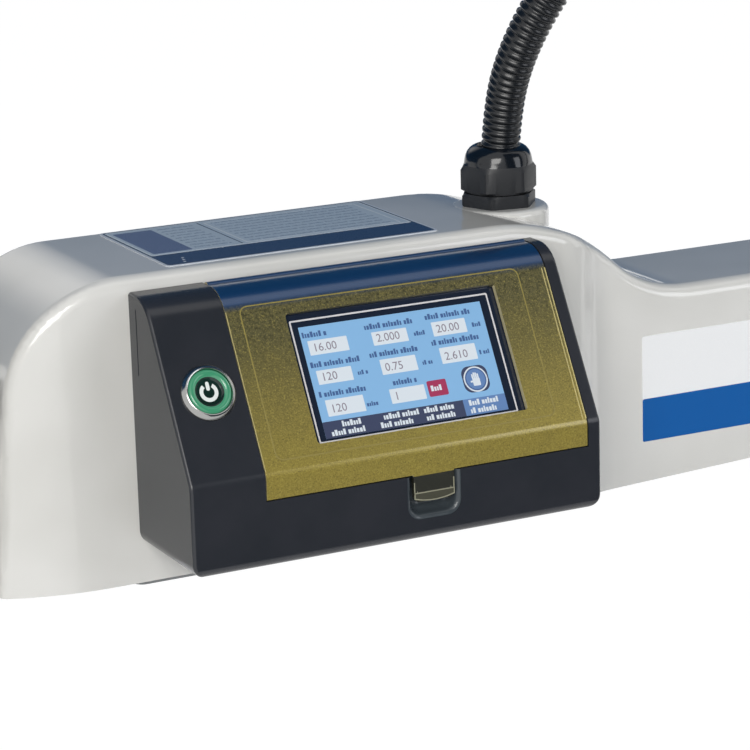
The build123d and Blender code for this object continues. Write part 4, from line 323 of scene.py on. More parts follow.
@dataclass(frozen=True)
class Printed(Finish):
    """Screen print or lacquer on films or sheets: an even layer with a faint mesh in its gloss."""

    mesh: float = 0.35
    coat: float = 0.25
    swing: float = 0.08
    relief: float = 0.004

    def dress(self, tree: NodeTree) -> dict:
        """The print's weave, under a thin gloss."""
        weave = pattern(tree, self.mesh, 1.0)
        gloss = add_node(tree, "ShaderNodeMapRange",
                         {0: weave, 3: self.roughness - self.swing, 4: self.roughness + self.swing})
        bump = add_node(tree, "ShaderNodeBump", {"Height": weave, "Distance": self.relief * MM})
        return {"Roughness": gloss, "Normal": bump, "Coat Weight": self.coat, "Coat Roughness": 0.15}


@dataclass(frozen=True)
class Rubber(Finish):
    """Vulcanised rubber: matt, with a dusty bloom on it that takes grazing light."""

    bloom: str = "#2c2e30"
    patch: float = 9.0
    relief: float = 0.05

    def dress(self, tree: NodeTree) -> dict:
        """Bloom in patches, and a sheen."""
        noise = pattern(tree, self.patch, 4.0)
        bump = add_node(tree, "ShaderNodeBump",
                        {"Height": noise, "Distance": self.relief * MM, "Strength": 0.5})
        return {"Base Color": self.mottle(tree, noise, self.bloom), "Normal": bump, "Sheen Weight": 0.15,
                "Sheen Roughness": 0.4}


# Castings and plates: wet gloss over soft waves, or the fine sugar grain of powder coat.
ENAMEL = Enamel("cast_aluminium_in_enamel", "#e6e5e1", 0.3, "#dcdbd6")
CHARCOAL = Moulded("steel_in_charcoal_powder_coat", "#43474b", 0.5, "#383c40", 1.1, 0.05)
COVER_GREY = Moulded("steel_in_grey_powder_coat", "#8f9192", 0.5, "#878a8b", 1.1, 0.04)
MOTOR_BLACK = Moulded("aluminium_in_black_enamel", "#1b1c1f", 0.3, "#17181a", 0.7, 0.01)
# Plastics: from the polished dish and dome, which mirror the room, the dish's black painted lighter as a
# painted sheen, to nylon's waxy black.
HOUSING = Moulded("abs_moulded_black", "#2c2e34", 0.24, "#272a30", 0.5, 0.004)
# The housing's black plastic painted lighter: a painted sheen inside the dish.
SCOOP_PAINTED_SHEEN = Moulded("abs_polished_black", "#434a4f", 0.2, "#3d4449", 0.8, 0.003)
ABS_GREY = Moulded("abs_moulded_charcoal", "#1d1f22", 0.4, "#18191c", 0.6, 0.015)
NYLON = Moulded("nylon_moulded_black", "#1c1e22", 0.48, "#181a1e", 0.8, 0.012)
NYLON_GLOSS = Moulded("nylon_polished_black", "#0f141b", 0.14, "#0c1016", 2.5, 0.02)
CONDUIT_NYLON = Moulded("nylon_corrugated_black", "#121519", 0.27, "#0f1216", 1.2, 0.01)
GREEN_CAP = Moulded("abs_gloss_green", "#1f7a3e", 0.22, "#1c7038", 0.8, 0.004)
RED_CAP = Moulded("abs_gloss_red", "#b5251d", 0.22, "#a9221b", 0.8, 0.004)
CAP_DARK = Moulded("polycarbonate_smoked", "#14302a", 0.14, "#10261f", 0.8, 0.002)
RUBBER = Rubber("rubber_ribbed_black", "#1a1b1c", 0.7)
# Metals: ground marks stretch their highlights, and plating keeps them small and hard.
GROUND_STEEL = Metal("steel_ground", "#b9bbbd", 0.28, (1.0, 1.0, 6.0))
BRIGHT_CHROME = Metal("chrome_polished", "#dcdee0", 0.08, grain_depth=0.001, swing=0.03)
BEZEL_STEEL = Metal("stainless_turned_bezel", "#a9a9a7", 0.16, grain_depth=0.001, swing=0.05)
BLACK_OXIDE = Metal("steel_black_oxide", "#35373b", 0.38, (1.0, 1.0, 3.0), 0.8)
BRONZE = Metal("bronze_sintered", "#a98452", 0.42, grain_size=0.5)
ANODISED = Metal("aluminium_anodised", "#b4b7ba", 0.34, (8.0, 1.0, 1.0))
COPPER = Metal("copper_enamelled_wire", "#a9663b", 0.3, (1.0, 1.0, 9.0))
# The cover: speckled amber with painted shade and a painted blue reflection at its top bend, its sawn edges
# paler and partly painted highlight, its scored line paler, painted highlights along its edges and on its
# tab's bevels, its tab smoked.
AMBER = SpeckledAcrylic("acrylic_amber_speckled", "#a89640", 0.3)
# The sawn edges' paler colour is partly painted highlight, for light carried along the sheet.
AMBER_EDGE_AND_HIGHLIGHT = Printed("acrylic_amber_cut_edge", "#beb48c", 0.3)
# Painted highlights: thin bright lines along the cover's edges.
AMBER_PAINTED_GLINT = Printed("acrylic_amber_lit_edge", "#cfc285", 0.2, coat=1.0)
AMBER_LINE = Printed("acrylic_amber_pressed_line", "#978a4b", 0.25, coat=1.0)
SMOKED_TAB = Printed("acrylic_smoked_tab", "#2f2f27", 0.12, coat=1.0)
SMOKED_LIP = Printed("acrylic_smoked_lip", "#4a493c", 0.12, coat=1.0)
# Painted highlight lines on the tab's bevels.
SMOKED_PAINTED_HIGHLIGHT = Printed("acrylic_smoked_bevel", "#96947f", 0.15, coat=1.0)
# The display: printed glass with a gloss, and a ground whose pixels glow through it.
SCREEN_BLACK = Printed("glass_black_printed", "#1c2536", 0.12)
SCREEN_LINE = Printed("glass_white_printed", "#dedcdf", 0.3)
SCREEN_GROUND = Lit("display_lit_blue", "#86b8e4", 0.5)
SCREEN_FIELD = Lit("display_lit_white", "#dde6ee", 0.5)
SCREEN_TEXT = Lit("display_lit_grey", "#8b8390", 0.4)
SCREEN_WORD = Lit("display_lit_navy_mark", "#3d5f93", 0.5)
SCREEN_BAR = Lit("display_lit_navy", "#323c5c", 0.5)
SCREEN_TAB = Lit("display_lit_slate", "#5f83b8", 0.5)
SCREEN_RED = Lit("display_lit_red", "#a52a56", 0.5)
RING_GREEN = Lit("lamp_ring_green", "#41966f", 0.2)
SYMBOL_WHITE = Lit("lamp_symbol_white", "#e9efec", 0.5)
BOARD_GREEN = Printed("epoxy_board_solder_mask", "#1d5432", 0.35)
# The label and the plate: flat ink under laminate, and lacquer that takes a sharper shine.
FILM_EDGE = Printed("film_silver_border", "#d3d9e2", 0.3)
FILM_DARK = Printed("film_dark_outline", "#3b4a5c", 0.3)
FILM_NAVY = Printed("film_navy_print", "#333f5e", 0.3)
FILM_BLOCK = Printed("film_indigo_print", "#6a7596", 0.3)
FILM_GREY = Printed("film_slate_print", "#bbcad8", 0.34)
FILM_LINE = Printed("film_pale_rule", "#dde5ec", 0.3)
FILM_MARK = Printed("film_slate_mark", "#8c9db2", 0.34)
PLATE_WHITE = Printed("sheet_white_lacquer", "#fbfcfd", 0.25, coat=0.6)
PLATE_BLUE = Printed("sheet_blue_lacquer", "#0d5fac", 0.22, coat=0.4)


# ---------------------------------------------------------------- meshes
def link(name: str, data: bpy.types.ID) -> Object:
    """Put data in the scene as an object."""
    thing = bpy.data.objects.new(name, data)
    bpy.context.scene.collection.objects.link(thing)
    return thing


def baked(thing: Object, layers: bool = False) -> Mesh:
    """What an object's curve or modifiers come to, as a plain mesh, with every layer if asked."""
    graph = bpy.context.evaluated_depsgraph_get()
    return bpy.data.meshes.new_from_object(thing.evaluated_get(graph), preserve_all_data_layers=layers,
                                           depsgraph=graph)


def to_mesh(form: Form, name: str, fold: float | None = None) -> Mesh:
    """Turn a form to a mesh; where a fold is given, edges that turn by more degrees are sharp."""
    if fold is not None:
        for edge in form.edges:
            edge.smooth = not edge.is_manifold or edge.calc_face_angle() < math.radians(fold)
    mesh = bpy.data.meshes.new(name)
    form.to_mesh(mesh)
    form.free()
    return mesh


def ring(form: Form, place: Matrix, points: Sequence[Point3]) -> list[bmesh.types.BMVert]:
    """Add a ring of points in millimetres, set in place."""
    return [form.verts.new(place @ (Vector(point) * MM)) for point in points]


def bridge(form: Form, rings: Sequence[Sequence[bmesh.types.BMVert]], colour: int = 0) -> None:
    """Join each ring of points to the next; a ring of one point closes the form.

    Args:
        form: the form that the rings are in.
        rings: its rings, anticlockwise as seen from the last.
        colour: the new faces' material number.
    """
    for low, high in zip(rings, rings[1:]):
        count = max(len(low), len(high))
        for i in range(count):
            j = (i + 1) % count
            corners = (low[i % len(low)], low[j % len(low)], high[j % len(high)], high[i % len(high)])
            form.faces.new(list(dict.fromkeys(corners))).material_index = colour


def cut(form: Form, at: Vector, clear: bool = False) -> None:
    """Cut a form by a level plane, and clear what is above it if asked."""
    bmesh.ops.bisect_plane(form, geom=form.verts[:] + form.edges[:] + form.faces[:], plane_co=at,
                           plane_no=(0.0, 0.0, 1.0), clear_outer=clear)


def turned(outline: Sequence[Point2], place: Matrix, steps: int = 96,
           shape: Callable[[float, float], float] | None = None) -> Form:
    """A turned form.

    Args:
        outline: radius and height of each point in millimetres, from the foot up; radius 0 closes it.
        place: where its foot stands, with Z as its axis.
        steps: points around.
        shape: changes a radius by its angle, where the form isn't round.

    Returns:
        The form, its faces outwards.
    """
    form = bmesh.new()
    rings = []
    for radius, height in outline:
        turns = [2 * math.pi * step / steps for step in range(steps if radius else 1)]
        reach = [shape(turn, radius) if shape else radius for turn in turns]
        rings.append(ring(form, place, [(r * math.cos(t), r * math.sin(t), height)
                                        for r, t in zip(reach, turns)]))
    bridge(form, rings)
    bmesh.ops.remove_doubles(form, verts=form.verts, dist=1e-7)
    for face in form.faces:
        face.smooth = True
    return form


def rounded(box: Box, radius: float, inset: float = 0.0, steps: int = 6) -> list[Point2]:
    """The outline of a rectangle with round corners, this far inside its box, anticlockwise."""
    x0, y0, x1, y1 = box[0] + inset, box[1] + inset, box[2] - inset, box[3] - inset
    outline = []
    corners = ((x1 - radius, y1 - radius), (x0 + radius, y1 - radius), (x0 + radius, y0 + radius),
               (x1 - radius, y0 + radius))
    for quarter, (cx, cy) in enumerate(corners):
        for step in range(steps + 1):
            turn = math.pi / 2 * (quarter + step / steps)
            outline.append((cx + radius * math.cos(turn), cy + radius * math.sin(turn)))
    return outline


def round_outline(cx: float, cy: float, radius: float, steps: int = 48) -> list[Point2]:
    """A circle's outline, anticlockwise."""
    turns = [2 * math.pi * i / steps for i in range(steps)]
    return [(cx + radius * math.cos(t), cy + radius * math.sin(t)) for t in turns]


def upright(origin: Point3) -> Matrix:
    """The upright plane that faces -Y: X along the arm, Y up, Z out of it."""
    turn = Matrix(((1, 0, 0), (0, 0, 1), (0, -1, 0))).transposed()
    return Matrix.Translation(origin) @ turn.to_4x4()


class Sheaf:
    """Flat pieces of print or plate laid on one plane, gathered in one mesh."""

    def __init__(self, place: Matrix) -> None:
        """Start an empty sheaf on a plane whose Z stands out of the surface."""
        self.place = place
        self.form = bmesh.new()

    def outline(self, points: Sequence[Point2], level: float) -> list[bmesh.types.BMVert]:
        """Add an outline's points at a height above the plane."""
        return ring(self.form, self.place, [(x, y, level) for x, y in points])

    def plate(self, points: Sequence[Point2], low: float, high: float, colour: int = 0) -> None:
        """Add a closed prism.

        Args:
            points: its outline in millimetres on the plane, anticlockwise.
            low: its foot above the plane, in millimetres.
            high: its top.
            colour: its material number.
        """
        foot, top = (self.outline(points, level) for level in (low, high))
        for face in (self.form.faces.new(top), self.form.faces.new(foot[::-1])):
            face.material_index = colour
        bridge(self.form, (foot, top), colour)

    def frame(self, outer: Sequence[Point2], inner: Sequence[Point2], low: float, high: float,
              colour: int = 0) -> None:
        """Add a closed rim between two outlines with as many points."""
        rings = [self.outline(points, level) for points, level in
                 ((outer, low), (outer, high), (inner, high), (inner, low))]
        bridge(self.form, [*rings, rings[0]], colour)

    def words(self, text: str, x: float, y: float, height: float, level: float, colour: int) -> None:
        """Add plain digits, their left foot at a point on the plane."""
        curve = bpy.data.curves.new("digits", "FONT")
        curve.body = text
        curve.size = height * 1.38
        curve.extrude = 0.02
        curve.resolution_u = 3
        holder = link("digits", curve)
        mesh = baked(holder)
        bpy.data.objects.remove(holder)
        shift = Matrix.Translation(Vector((x, y, level)) * MM) @ Matrix.Scale(MM, 4)
        mesh.transform(self.place @ shift)
        first = len(self.form.faces)
        self.form.from_mesh(mesh)
        self.form.faces.ensure_lookup_table()
        for face in self.form.faces[first:]:
            face.material_index = colour
        bpy.data.meshes.remove(mesh)


# ---------------------------------------------------------------- geometry nodes
def new_tree(name: str, inputs: dict[str, float]) -> tuple[NodeTree, bpy.types.NodeOutputs]:
    """Start a Geometry Nodes tree.

    Args:
        name: the tree's name.
        inputs: each named input's value, whole or not as the input is.

    Returns:
        The tree and its inputs' sockets by name.
    """
    tree = bpy.data.node_groups.new(name, "GeometryNodeTree")
    for way in ("INPUT", "OUTPUT"):
        tree.interface.new_socket("Geometry", in_out=way, socket_type="NodeSocketGeometry")
    for label, value in inputs.items():
        kind = "NodeSocketInt" if isinstance(value, int) else "NodeSocketFloat"
        tree.interface.new_socket(label, in_out="INPUT", socket_type=kind).default_value = value
    return tree, add_node(tree, "NodeGroupInput").outputs


def end_tree(tree: NodeTree, result: Node, finish: Finish) -> NodeTree:
    """Realize the instances, set the material and close a Geometry Nodes tree."""
    real = add_node(tree, "GeometryNodeRealizeInstances", {0: result})
    dressed = add_node(tree, "GeometryNodeSetMaterial", {0: real, "Material": finish.make()})
    add_node(tree, "NodeGroupOutput", {0: dressed})
    return tree


def run_tree(tree: NodeTree, start: Mesh, **inputs: float) -> Mesh:
    """Run a Geometry Nodes tree on a mesh.

    Args:
        tree: the tree.
        start: the mesh it starts from.
        **inputs: the tree's inputs by name.

    Returns:
        The result as a plain mesh.
    """
    holder = link(tree.name, start)
    modifier = holder.modifiers.new(tree.name, "NODES")
    modifier.node_group = tree
    for item in tree.interface.items_tree:
        if item.item_type == "SOCKET" and item.in_out == "INPUT" and item.name in inputs:
            modifier[item.identifier] = inputs[item.name]
    mesh = baked(holder)
    bpy.data.objects.remove(holder)
    mesh.materials.clear()
    return mesh


def marks_tree(finish: Finish) -> NodeTree:
    """A tree that lays a block of print on each point, as wide and deep as the point's size says."""
    tree, given = new_tree("marks_" + finish.name, {"Thickness": 0.0001})
    size = add_node(tree, "GeometryNodeInputNamedAttribute", {"Name": "size"}, data_type="FLOAT_VECTOR")
    parts = add_node(tree, "ShaderNodeSeparateXYZ", {0: size}).outputs
    whole = add_node(tree, "ShaderNodeCombineXYZ", {0: parts[0], 1: parts[1], 2: given["Thickness"]})
    block = add_node(tree, "GeometryNodeMeshCube", {"Size": (1.0, 1.0, 1.0)})
    laid = add_node(tree, "GeometryNodeInstanceOnPoints",
                    {"Points": given["Geometry"], "Instance": block, "Scale": whole})
    return end_tree(tree, laid, finish)


def studs_tree(finish: Finish) -> NodeTree:
    """A tree that stands a four-sided stud on each point, away from an upright axis."""
    tree, given = new_tree("studs_" + finish.name, {"Width": 0.001, "Height": 0.0005, "Axis X": 0.0})
    place = add_node(tree, "GeometryNodeInputPosition")
    parts = add_node(tree, "ShaderNodeSeparateXYZ", {0: place}).outputs
    away = add_node(tree, "ShaderNodeMath", {0: parts[0], 1: given["Axis X"]}, operation="SUBTRACT")
    out = add_node(tree, "ShaderNodeCombineXYZ", {0: away, 1: parts[1]})
    turn = add_node(tree, "FunctionNodeAlignRotationToVector", {"Vector": out}, axis="Z")
    stud = add_node(tree, "GeometryNodeMeshCone", {"Vertices": 4, "Radius Top": 0.0, "Radius Bottom":
                                                   given["Width"], "Depth": given["Height"]})
    stood = add_node(tree, "GeometryNodeInstanceOnPoints",
                     {"Points": given["Geometry"], "Instance": stud, "Rotation": turn})
    return end_tree(tree, stood, finish)


def hoops_tree(finish: Finish) -> NodeTree:
    """A tree that puts a round hoop across the Y axis on each point."""
    tree, given = new_tree("hoops_" + finish.name, {"Radius": 0.015, "Thickness": 0.001})
    circles = [add_node(tree, "GeometryNodeCurvePrimitiveCircle",
                        {"Resolution": count, "Radius": given[name]})
               for count, name in ((48, "Radius"), (8, "Thickness"))]
    hoop = add_node(tree, "GeometryNodeCurveToMesh", {"Curve": circles[0], "Profile Curve": circles[1]})
    smooth = add_node(tree, "GeometryNodeSetShadeSmooth", {0: hoop})
    laid = add_node(tree, "GeometryNodeInstanceOnPoints",
                    {"Points": given["Geometry"], "Instance": smooth, "Rotation": (math.pi / 2, 0.0, 0.0)})
    return end_tree(tree, laid, finish)


def points_mesh(name: str, points: Sequence[Point3], sizes: Sequence[Point2] = ()) -> Mesh:
    """Loose points in metres for a tree to build on, with a size in metres for each if given."""
    mesh = bpy.data.meshes.new(name)
    mesh.from_pydata(points, [], [])
    if sizes:
        wide = mesh.attributes.new("size", "FLOAT_VECTOR", "POINT")
        for entry, (x, y) in zip(wide.data, sizes):
            entry.vector = (x, y, 1.0)
    return mesh


def word_marks(x: float, y: float, length: float, high: float, seed: int) -> list[Box]:
    """Blocks that stand for a line of small print.

    Args:
        x: where the line starts, in millimetres.
        y: the line's foot.
        length: how long the line is.
        high: how high a tall block is.
        seed: picks the order of tall, short, wide and narrow blocks.

    Returns:
        Middle and size of each block in millimetres.
    """
    marks = []
    at, step = x, seed
    while at < x + length:
        tall = high if step % 3 == 0 else 0.72 * high
        wide = high * (0.36, 0.5, 0.44, 0.3)[(step * 7) % 4]
        marks.append((at + wide / 2, y + tall / 2, wide, tall))
        at += wide + high * (0.5 if step % 7 == 6 else 0.14)
        step += 1
    return marks


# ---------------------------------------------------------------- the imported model
Dressed = dict[str, tuple[Finish, Edge]]
Coated = dict[str, Finish]


class Packed:
    """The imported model: its nodes, and the body and the material slot of each."""

    def __init__(self, frame: dict) -> None:
        record = frame["record"]
        self.nodes: dict[str, Object] = frame["nodes"]
        self.bodies: dict[str, str] = {node: body for body, nodes in record["behaviour"]["bodies"].items()
                                       for node in nodes}
        self.slots: dict[str, str] = {part["node"]: part["material_slot"] for part in record["subparts"]}

    def coat(self, node: str, finish: Finish) -> None:
        """Give a node that stays as it is another finish."""
        materials = self.nodes[node].data.materials
        if not materials:
            materials.append(None)
        for place in range(len(materials)):
            materials[place] = finish.make()
        LOG.info("node %s in %s", node, finish.name)

    def eased(self, node: str, ease: float, fold: float = 30.0) -> Mesh:
        """A merged copy of a node's mesh with its sharp edges eased.

        Args:
            node: the CAD node.
            ease: the width of the easing in millimetres.
            fold: edges that turn by more degrees than this are sharp.

        Returns:
            A mesh in the row frame, smooth between its sharp edges.
        """
        form = bmesh.new()
        form.from_mesh(self.nodes[node].data)
        bmesh.ops.remove_doubles(form, verts=form.verts, dist=2e-6)
        bmesh.ops.dissolve_limit(form, angle_limit=math.radians(0.4), verts=form.verts, edges=form.edges)
        sharp = [e for e in form.edges if e.is_manifold and e.calc_face_angle() > math.radians(fold)]
        bmesh.ops.bevel(form, geom=sharp, offset=ease * MM, offset_type="OFFSET", segments=2,
                        profile=0.5, affect="EDGES", clamp_overlap=True)
        for face in form.faces:
            face.smooth = True
            face.material_index = 0
        return to_mesh(form, node + "_form", fold)

    def add(self, name: str, mesh: Mesh, finishes: Sequence[Finish], node: str, replace: bool = False,
            weigh: bool = False) -> Object:
        """Put a finished mesh in the scene as a piece of the machine.

        Args:
            name: the piece's name.
            mesh: its mesh, in metres in the row frame.
            finishes: its finishes, in the order of the mesh's material numbers.
            node: the CAD node whose body it has.
            replace: whether it stands for that node.
            weigh: whether flat faces should win over eased ones in its shading.

        Returns:
            The piece's object.
        """
        for finish in finishes:
            mesh.materials.append(finish.make())
        piece = link(name, mesh)
        if weigh:
            piece.modifiers.new("weigh", "WEIGHTED_NORMAL").keep_sharp = True
            mesh = baked(piece, True)
            piece.modifiers.clear()
            piece.data = mesh
        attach(piece, self.bodies[node])
        if replace:
            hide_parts(node)
        LOG.info("piece %s: %d faces on %s", name, len(mesh.polygons), self.bodies[node])
        return piece

    def print_marks(self, name: str, marks: Sequence[Box], place: Matrix, level: float, finish: Finish,
                    node: str) -> None:
        """Print blocks on a plane.

        Args:
            name: the piece's name.
            marks: middle and size of each block in millimetres on the plane.
            place: the plane, its Z standing out of the surface.
            level: the height of the print above the plane in millimetres.
            finish: the print's finish.
            node: the CAD node that it is printed on.
        """
        start = points_mesh(name, [(x * MM, y * MM, level * MM) for x, y, _, _ in marks],
                            [(w * MM, h * MM) for _, _, w, h in marks])
        mesh = run_tree(marks_tree(finish), start, Thickness=PRINT_THICKNESS * MM)
        mesh.transform(place)
        self.add(name, mesh, [finish], node)


@dataclass
class Assembly:
    """A sub-assembly: CAD nodes in eased copies, CAD nodes that are only coated, and its own forms."""

    packed: Packed
    dressed: Dressed = field(default_factory=dict)
    coated: Coated = field(default_factory=dict)

    def forms(self) -> None:
        """Build what isn't a copy of a node."""

    def build(self) -> None:
        """Build and dress the sub-assembly."""
        for node, (finish, edge) in self.dressed.items():
            mesh = self.packed.eased(node, edge.value)
            self.packed.add("dressed_" + node, mesh, [finish], node, True, True)
        self.forms()
        for node, finish in self.coated.items():
            self.packed.coat(node, finish)


# ---------------------------------------------------------------- studio
@dataclass
class Studio:
    """The camera, the soft light and the pale floor."""

    camera_at: Point3 = (-1.5499, -1.3092, 0.8123)
    yaw: float = 26.4
    pitch: float = 14.71
    roll: float = -1.66
    lens: float = 145.98
    fill: float = 0.34
    floor_half: float = 15.0
    floor_share: float = 0.85
    floor_glow: float = 1.13

    def camera(self) -> None:
        """Make the camera and make it the scene's."""
        yaw, pitch, roll = (math.radians(v) for v in (self.yaw, self.pitch, self.roll))
        ahead = Vector((math.sin(yaw) * math.cos(pitch), math.cos(yaw) * math.cos(pitch), -math.sin(pitch)))
        right = Vector((math.cos(yaw), -math.sin(yaw), 0.0))
        up = right.cross(ahead)
        rolled_right = math.cos(roll) * right + math.sin(roll) * up
        rolled_up = math.cos(roll) * up - math.sin(roll) * right
        data = bpy.data.cameras.new("camera")
        data.lens = self.lens
        data.clip_start, data.clip_end = 0.05, 100.0
        camera = link("camera", data)
        turn = Matrix((rolled_right, rolled_up, -ahead)).transposed()
        camera.matrix_world = Matrix.Translation(self.camera_at) @ turn.to_4x4()
        bpy.context.scene.camera = camera

    def lamp(self, name: str, at: Point3, towards: Vector, size: Point2, share: float,
             colour: str) -> None:
        """Add a softbox.

        Args:
            name: its name.
            at: where it hangs, in metres.
            towards: the point that it faces.
            size: its width and height in metres.
            share: the share of the plain light level that it gives at that point.
            colour: its light's colour.
        """
        data = bpy.data.lights.new(name, "AREA")
        data.shape = "RECTANGLE"
        data.size, data.size_y = size
        way = towards - Vector(at)
        data.energy = share * (math.pi * way.length) ** 2
        data.color = srgb(colour)[:3]
        turn = way.to_track_quat("-Z", "Y").to_matrix().to_4x4()
        link(name, data).matrix_world = Matrix.Translation(at) @ turn

    def seen_share(self, tree: NodeTree) -> NodeSocket:
        """1 for rays from the camera, a mirror or through glass, and 0 for light on the object."""
        path = add_node(tree, "ShaderNodeLightPath")
        total = path.outputs["Is Camera Ray"]
        for kind in ("Is Glossy Ray", "Is Transmission Ray"):
            total = add_node(tree, "ShaderNodeMath", {0: total, 1: path.outputs[kind]},
                             operation="ADD", use_clamp=True).outputs[0]
        return total

    def world(self) -> None:
        """White where it is seen, and a cool plain fill on the object."""
        world = bpy.data.worlds.new("studio")
        world.use_nodes = True
        tree = world.node_tree
        tree.nodes.clear()
        white = add_node(tree, "ShaderNodeBackground", {"Color": (1, 1, 1, 1), "Strength": 1.0})
        soft = add_node(tree, "ShaderNodeBackground", {"Color": srgb("#e6ebf2"), "Strength": self.fill})
        both = add_node(tree, "ShaderNodeMixShader", {0: self.seen_share(tree), 1: soft, 2: white})
        add_node(tree, "ShaderNodeOutputWorld", {0: both})
        bpy.context.scene.world = world

    def sheet(self, name: str, corners: Sequence[Point3]) -> tuple[Object, NodeTree]:
        """Add one face of the set, which isn't part of the machine, with an empty material tree."""
        material = bpy.data.materials.new(name)
        material.use_nodes = True
        material.node_tree.nodes.clear()
        mesh = bpy.data.meshes.new(name)
        mesh.from_pydata(corners, [], [(0, 1, 2, 3)])
        mesh.materials.append(material)
        sheet = link(name, mesh)
        return sheet, material.node_tree

    def floor(self) -> None:
        """A pale floor that keeps the object's shadow."""
        half = self.floor_half
        tree = self.sheet("floor", [(-half, -half, 0), (half, -half, 0), (half, half, 0),
                                    (-half, half, 0)])[1]
        paint = add_node(tree, "ShaderNodeBsdfDiffuse", {"Color": srgb("#f4f4f4")})
        glow = add_node(tree, "ShaderNodeEmission", {"Color": (1, 1, 1, 1), "Strength": self.floor_glow})
        share = add_node(tree, "ShaderNodeMath", {0: self.seen_share(tree), 1: self.floor_share},
                         operation="MULTIPLY")
        both = add_node(tree, "ShaderNodeMixShader", {0: share, 1: paint, 2: glow})
        add_node(tree, "ShaderNodeOutputMaterial", {0: both})

    def card(self, name: str, corners: Sequence[Point3], colour: str,
             window: tuple[Point3, float] | None = None) -> None:
        """Hang a coloured card that is seen only in the machine's gloss.

        Args:
            name: its name.
            corners: its corners in metres.
            colour: the colour that it shows.
            window: the middle and the reach in metres of a pale spot that fades into the colour.
        """
        card, tree = self.sheet(name, corners)
        tone = srgb(colour)
        if window:
            place = add_node(tree, "ShaderNodeTexCoord").outputs["Object"]
            away = add_node(tree, "ShaderNodeVectorMath", {0: place, 1: window[0]}, operation="DISTANCE")
            share = add_node(tree, "ShaderNodeMapRange",
                             {0: away.outputs["Value"], 1: window[1], 2: window[1] / 3})
            tone = blend(tree, share, colour, "#ffffff")
        glow = add_node(tree, "ShaderNodeEmission", {"Color": tone, "Strength": 1.0})
        add_node(tree, "ShaderNodeOutputMaterial", {0: glow})
        for kind in ("camera", "diffuse", "shadow", "transmission"):
            setattr(card, "visible_" + kind, False)

    def build(self, middle: Vector) -> None:
        """Set up everything but the camera."""
        self.world()
        self.floor()
        self.card("card_behind", [(-5.0, 1.8, 0.5), (3.5, 1.8, 0.5), (3.5, -0.4, 5.0), (-5.0, -0.4, 5.0)],
                  "#2b5276", ((-0.95, 1.55, 1.3), 0.62))
        self.card("card_before", [(-1.1, -3.4, 0.0), (6.0, -3.4, 0.0), (6.0, -3.0, 6.0), (-1.1, -3.0, 6.0)],
                  "#3b424c")
        self.card("card_below", [(-1.0, -3.4, 0.004), (5.0, -3.4, 0.004), (5.0, -0.5, 0.004),
                                 (-1.0, -0.5, 0.004)], "#565b62")
        self.lamp("key", (-2.3, -2.2, 1.5), middle, (1.6, 1.2), 0.6, "#fffdf9")
        self.lamp("side", (0.9, -2.2, 1.3), middle, (1.2, 1.2), 0.15, "#f8faff")
        bpy.context.scene.view_settings.view_transform = "Standard"


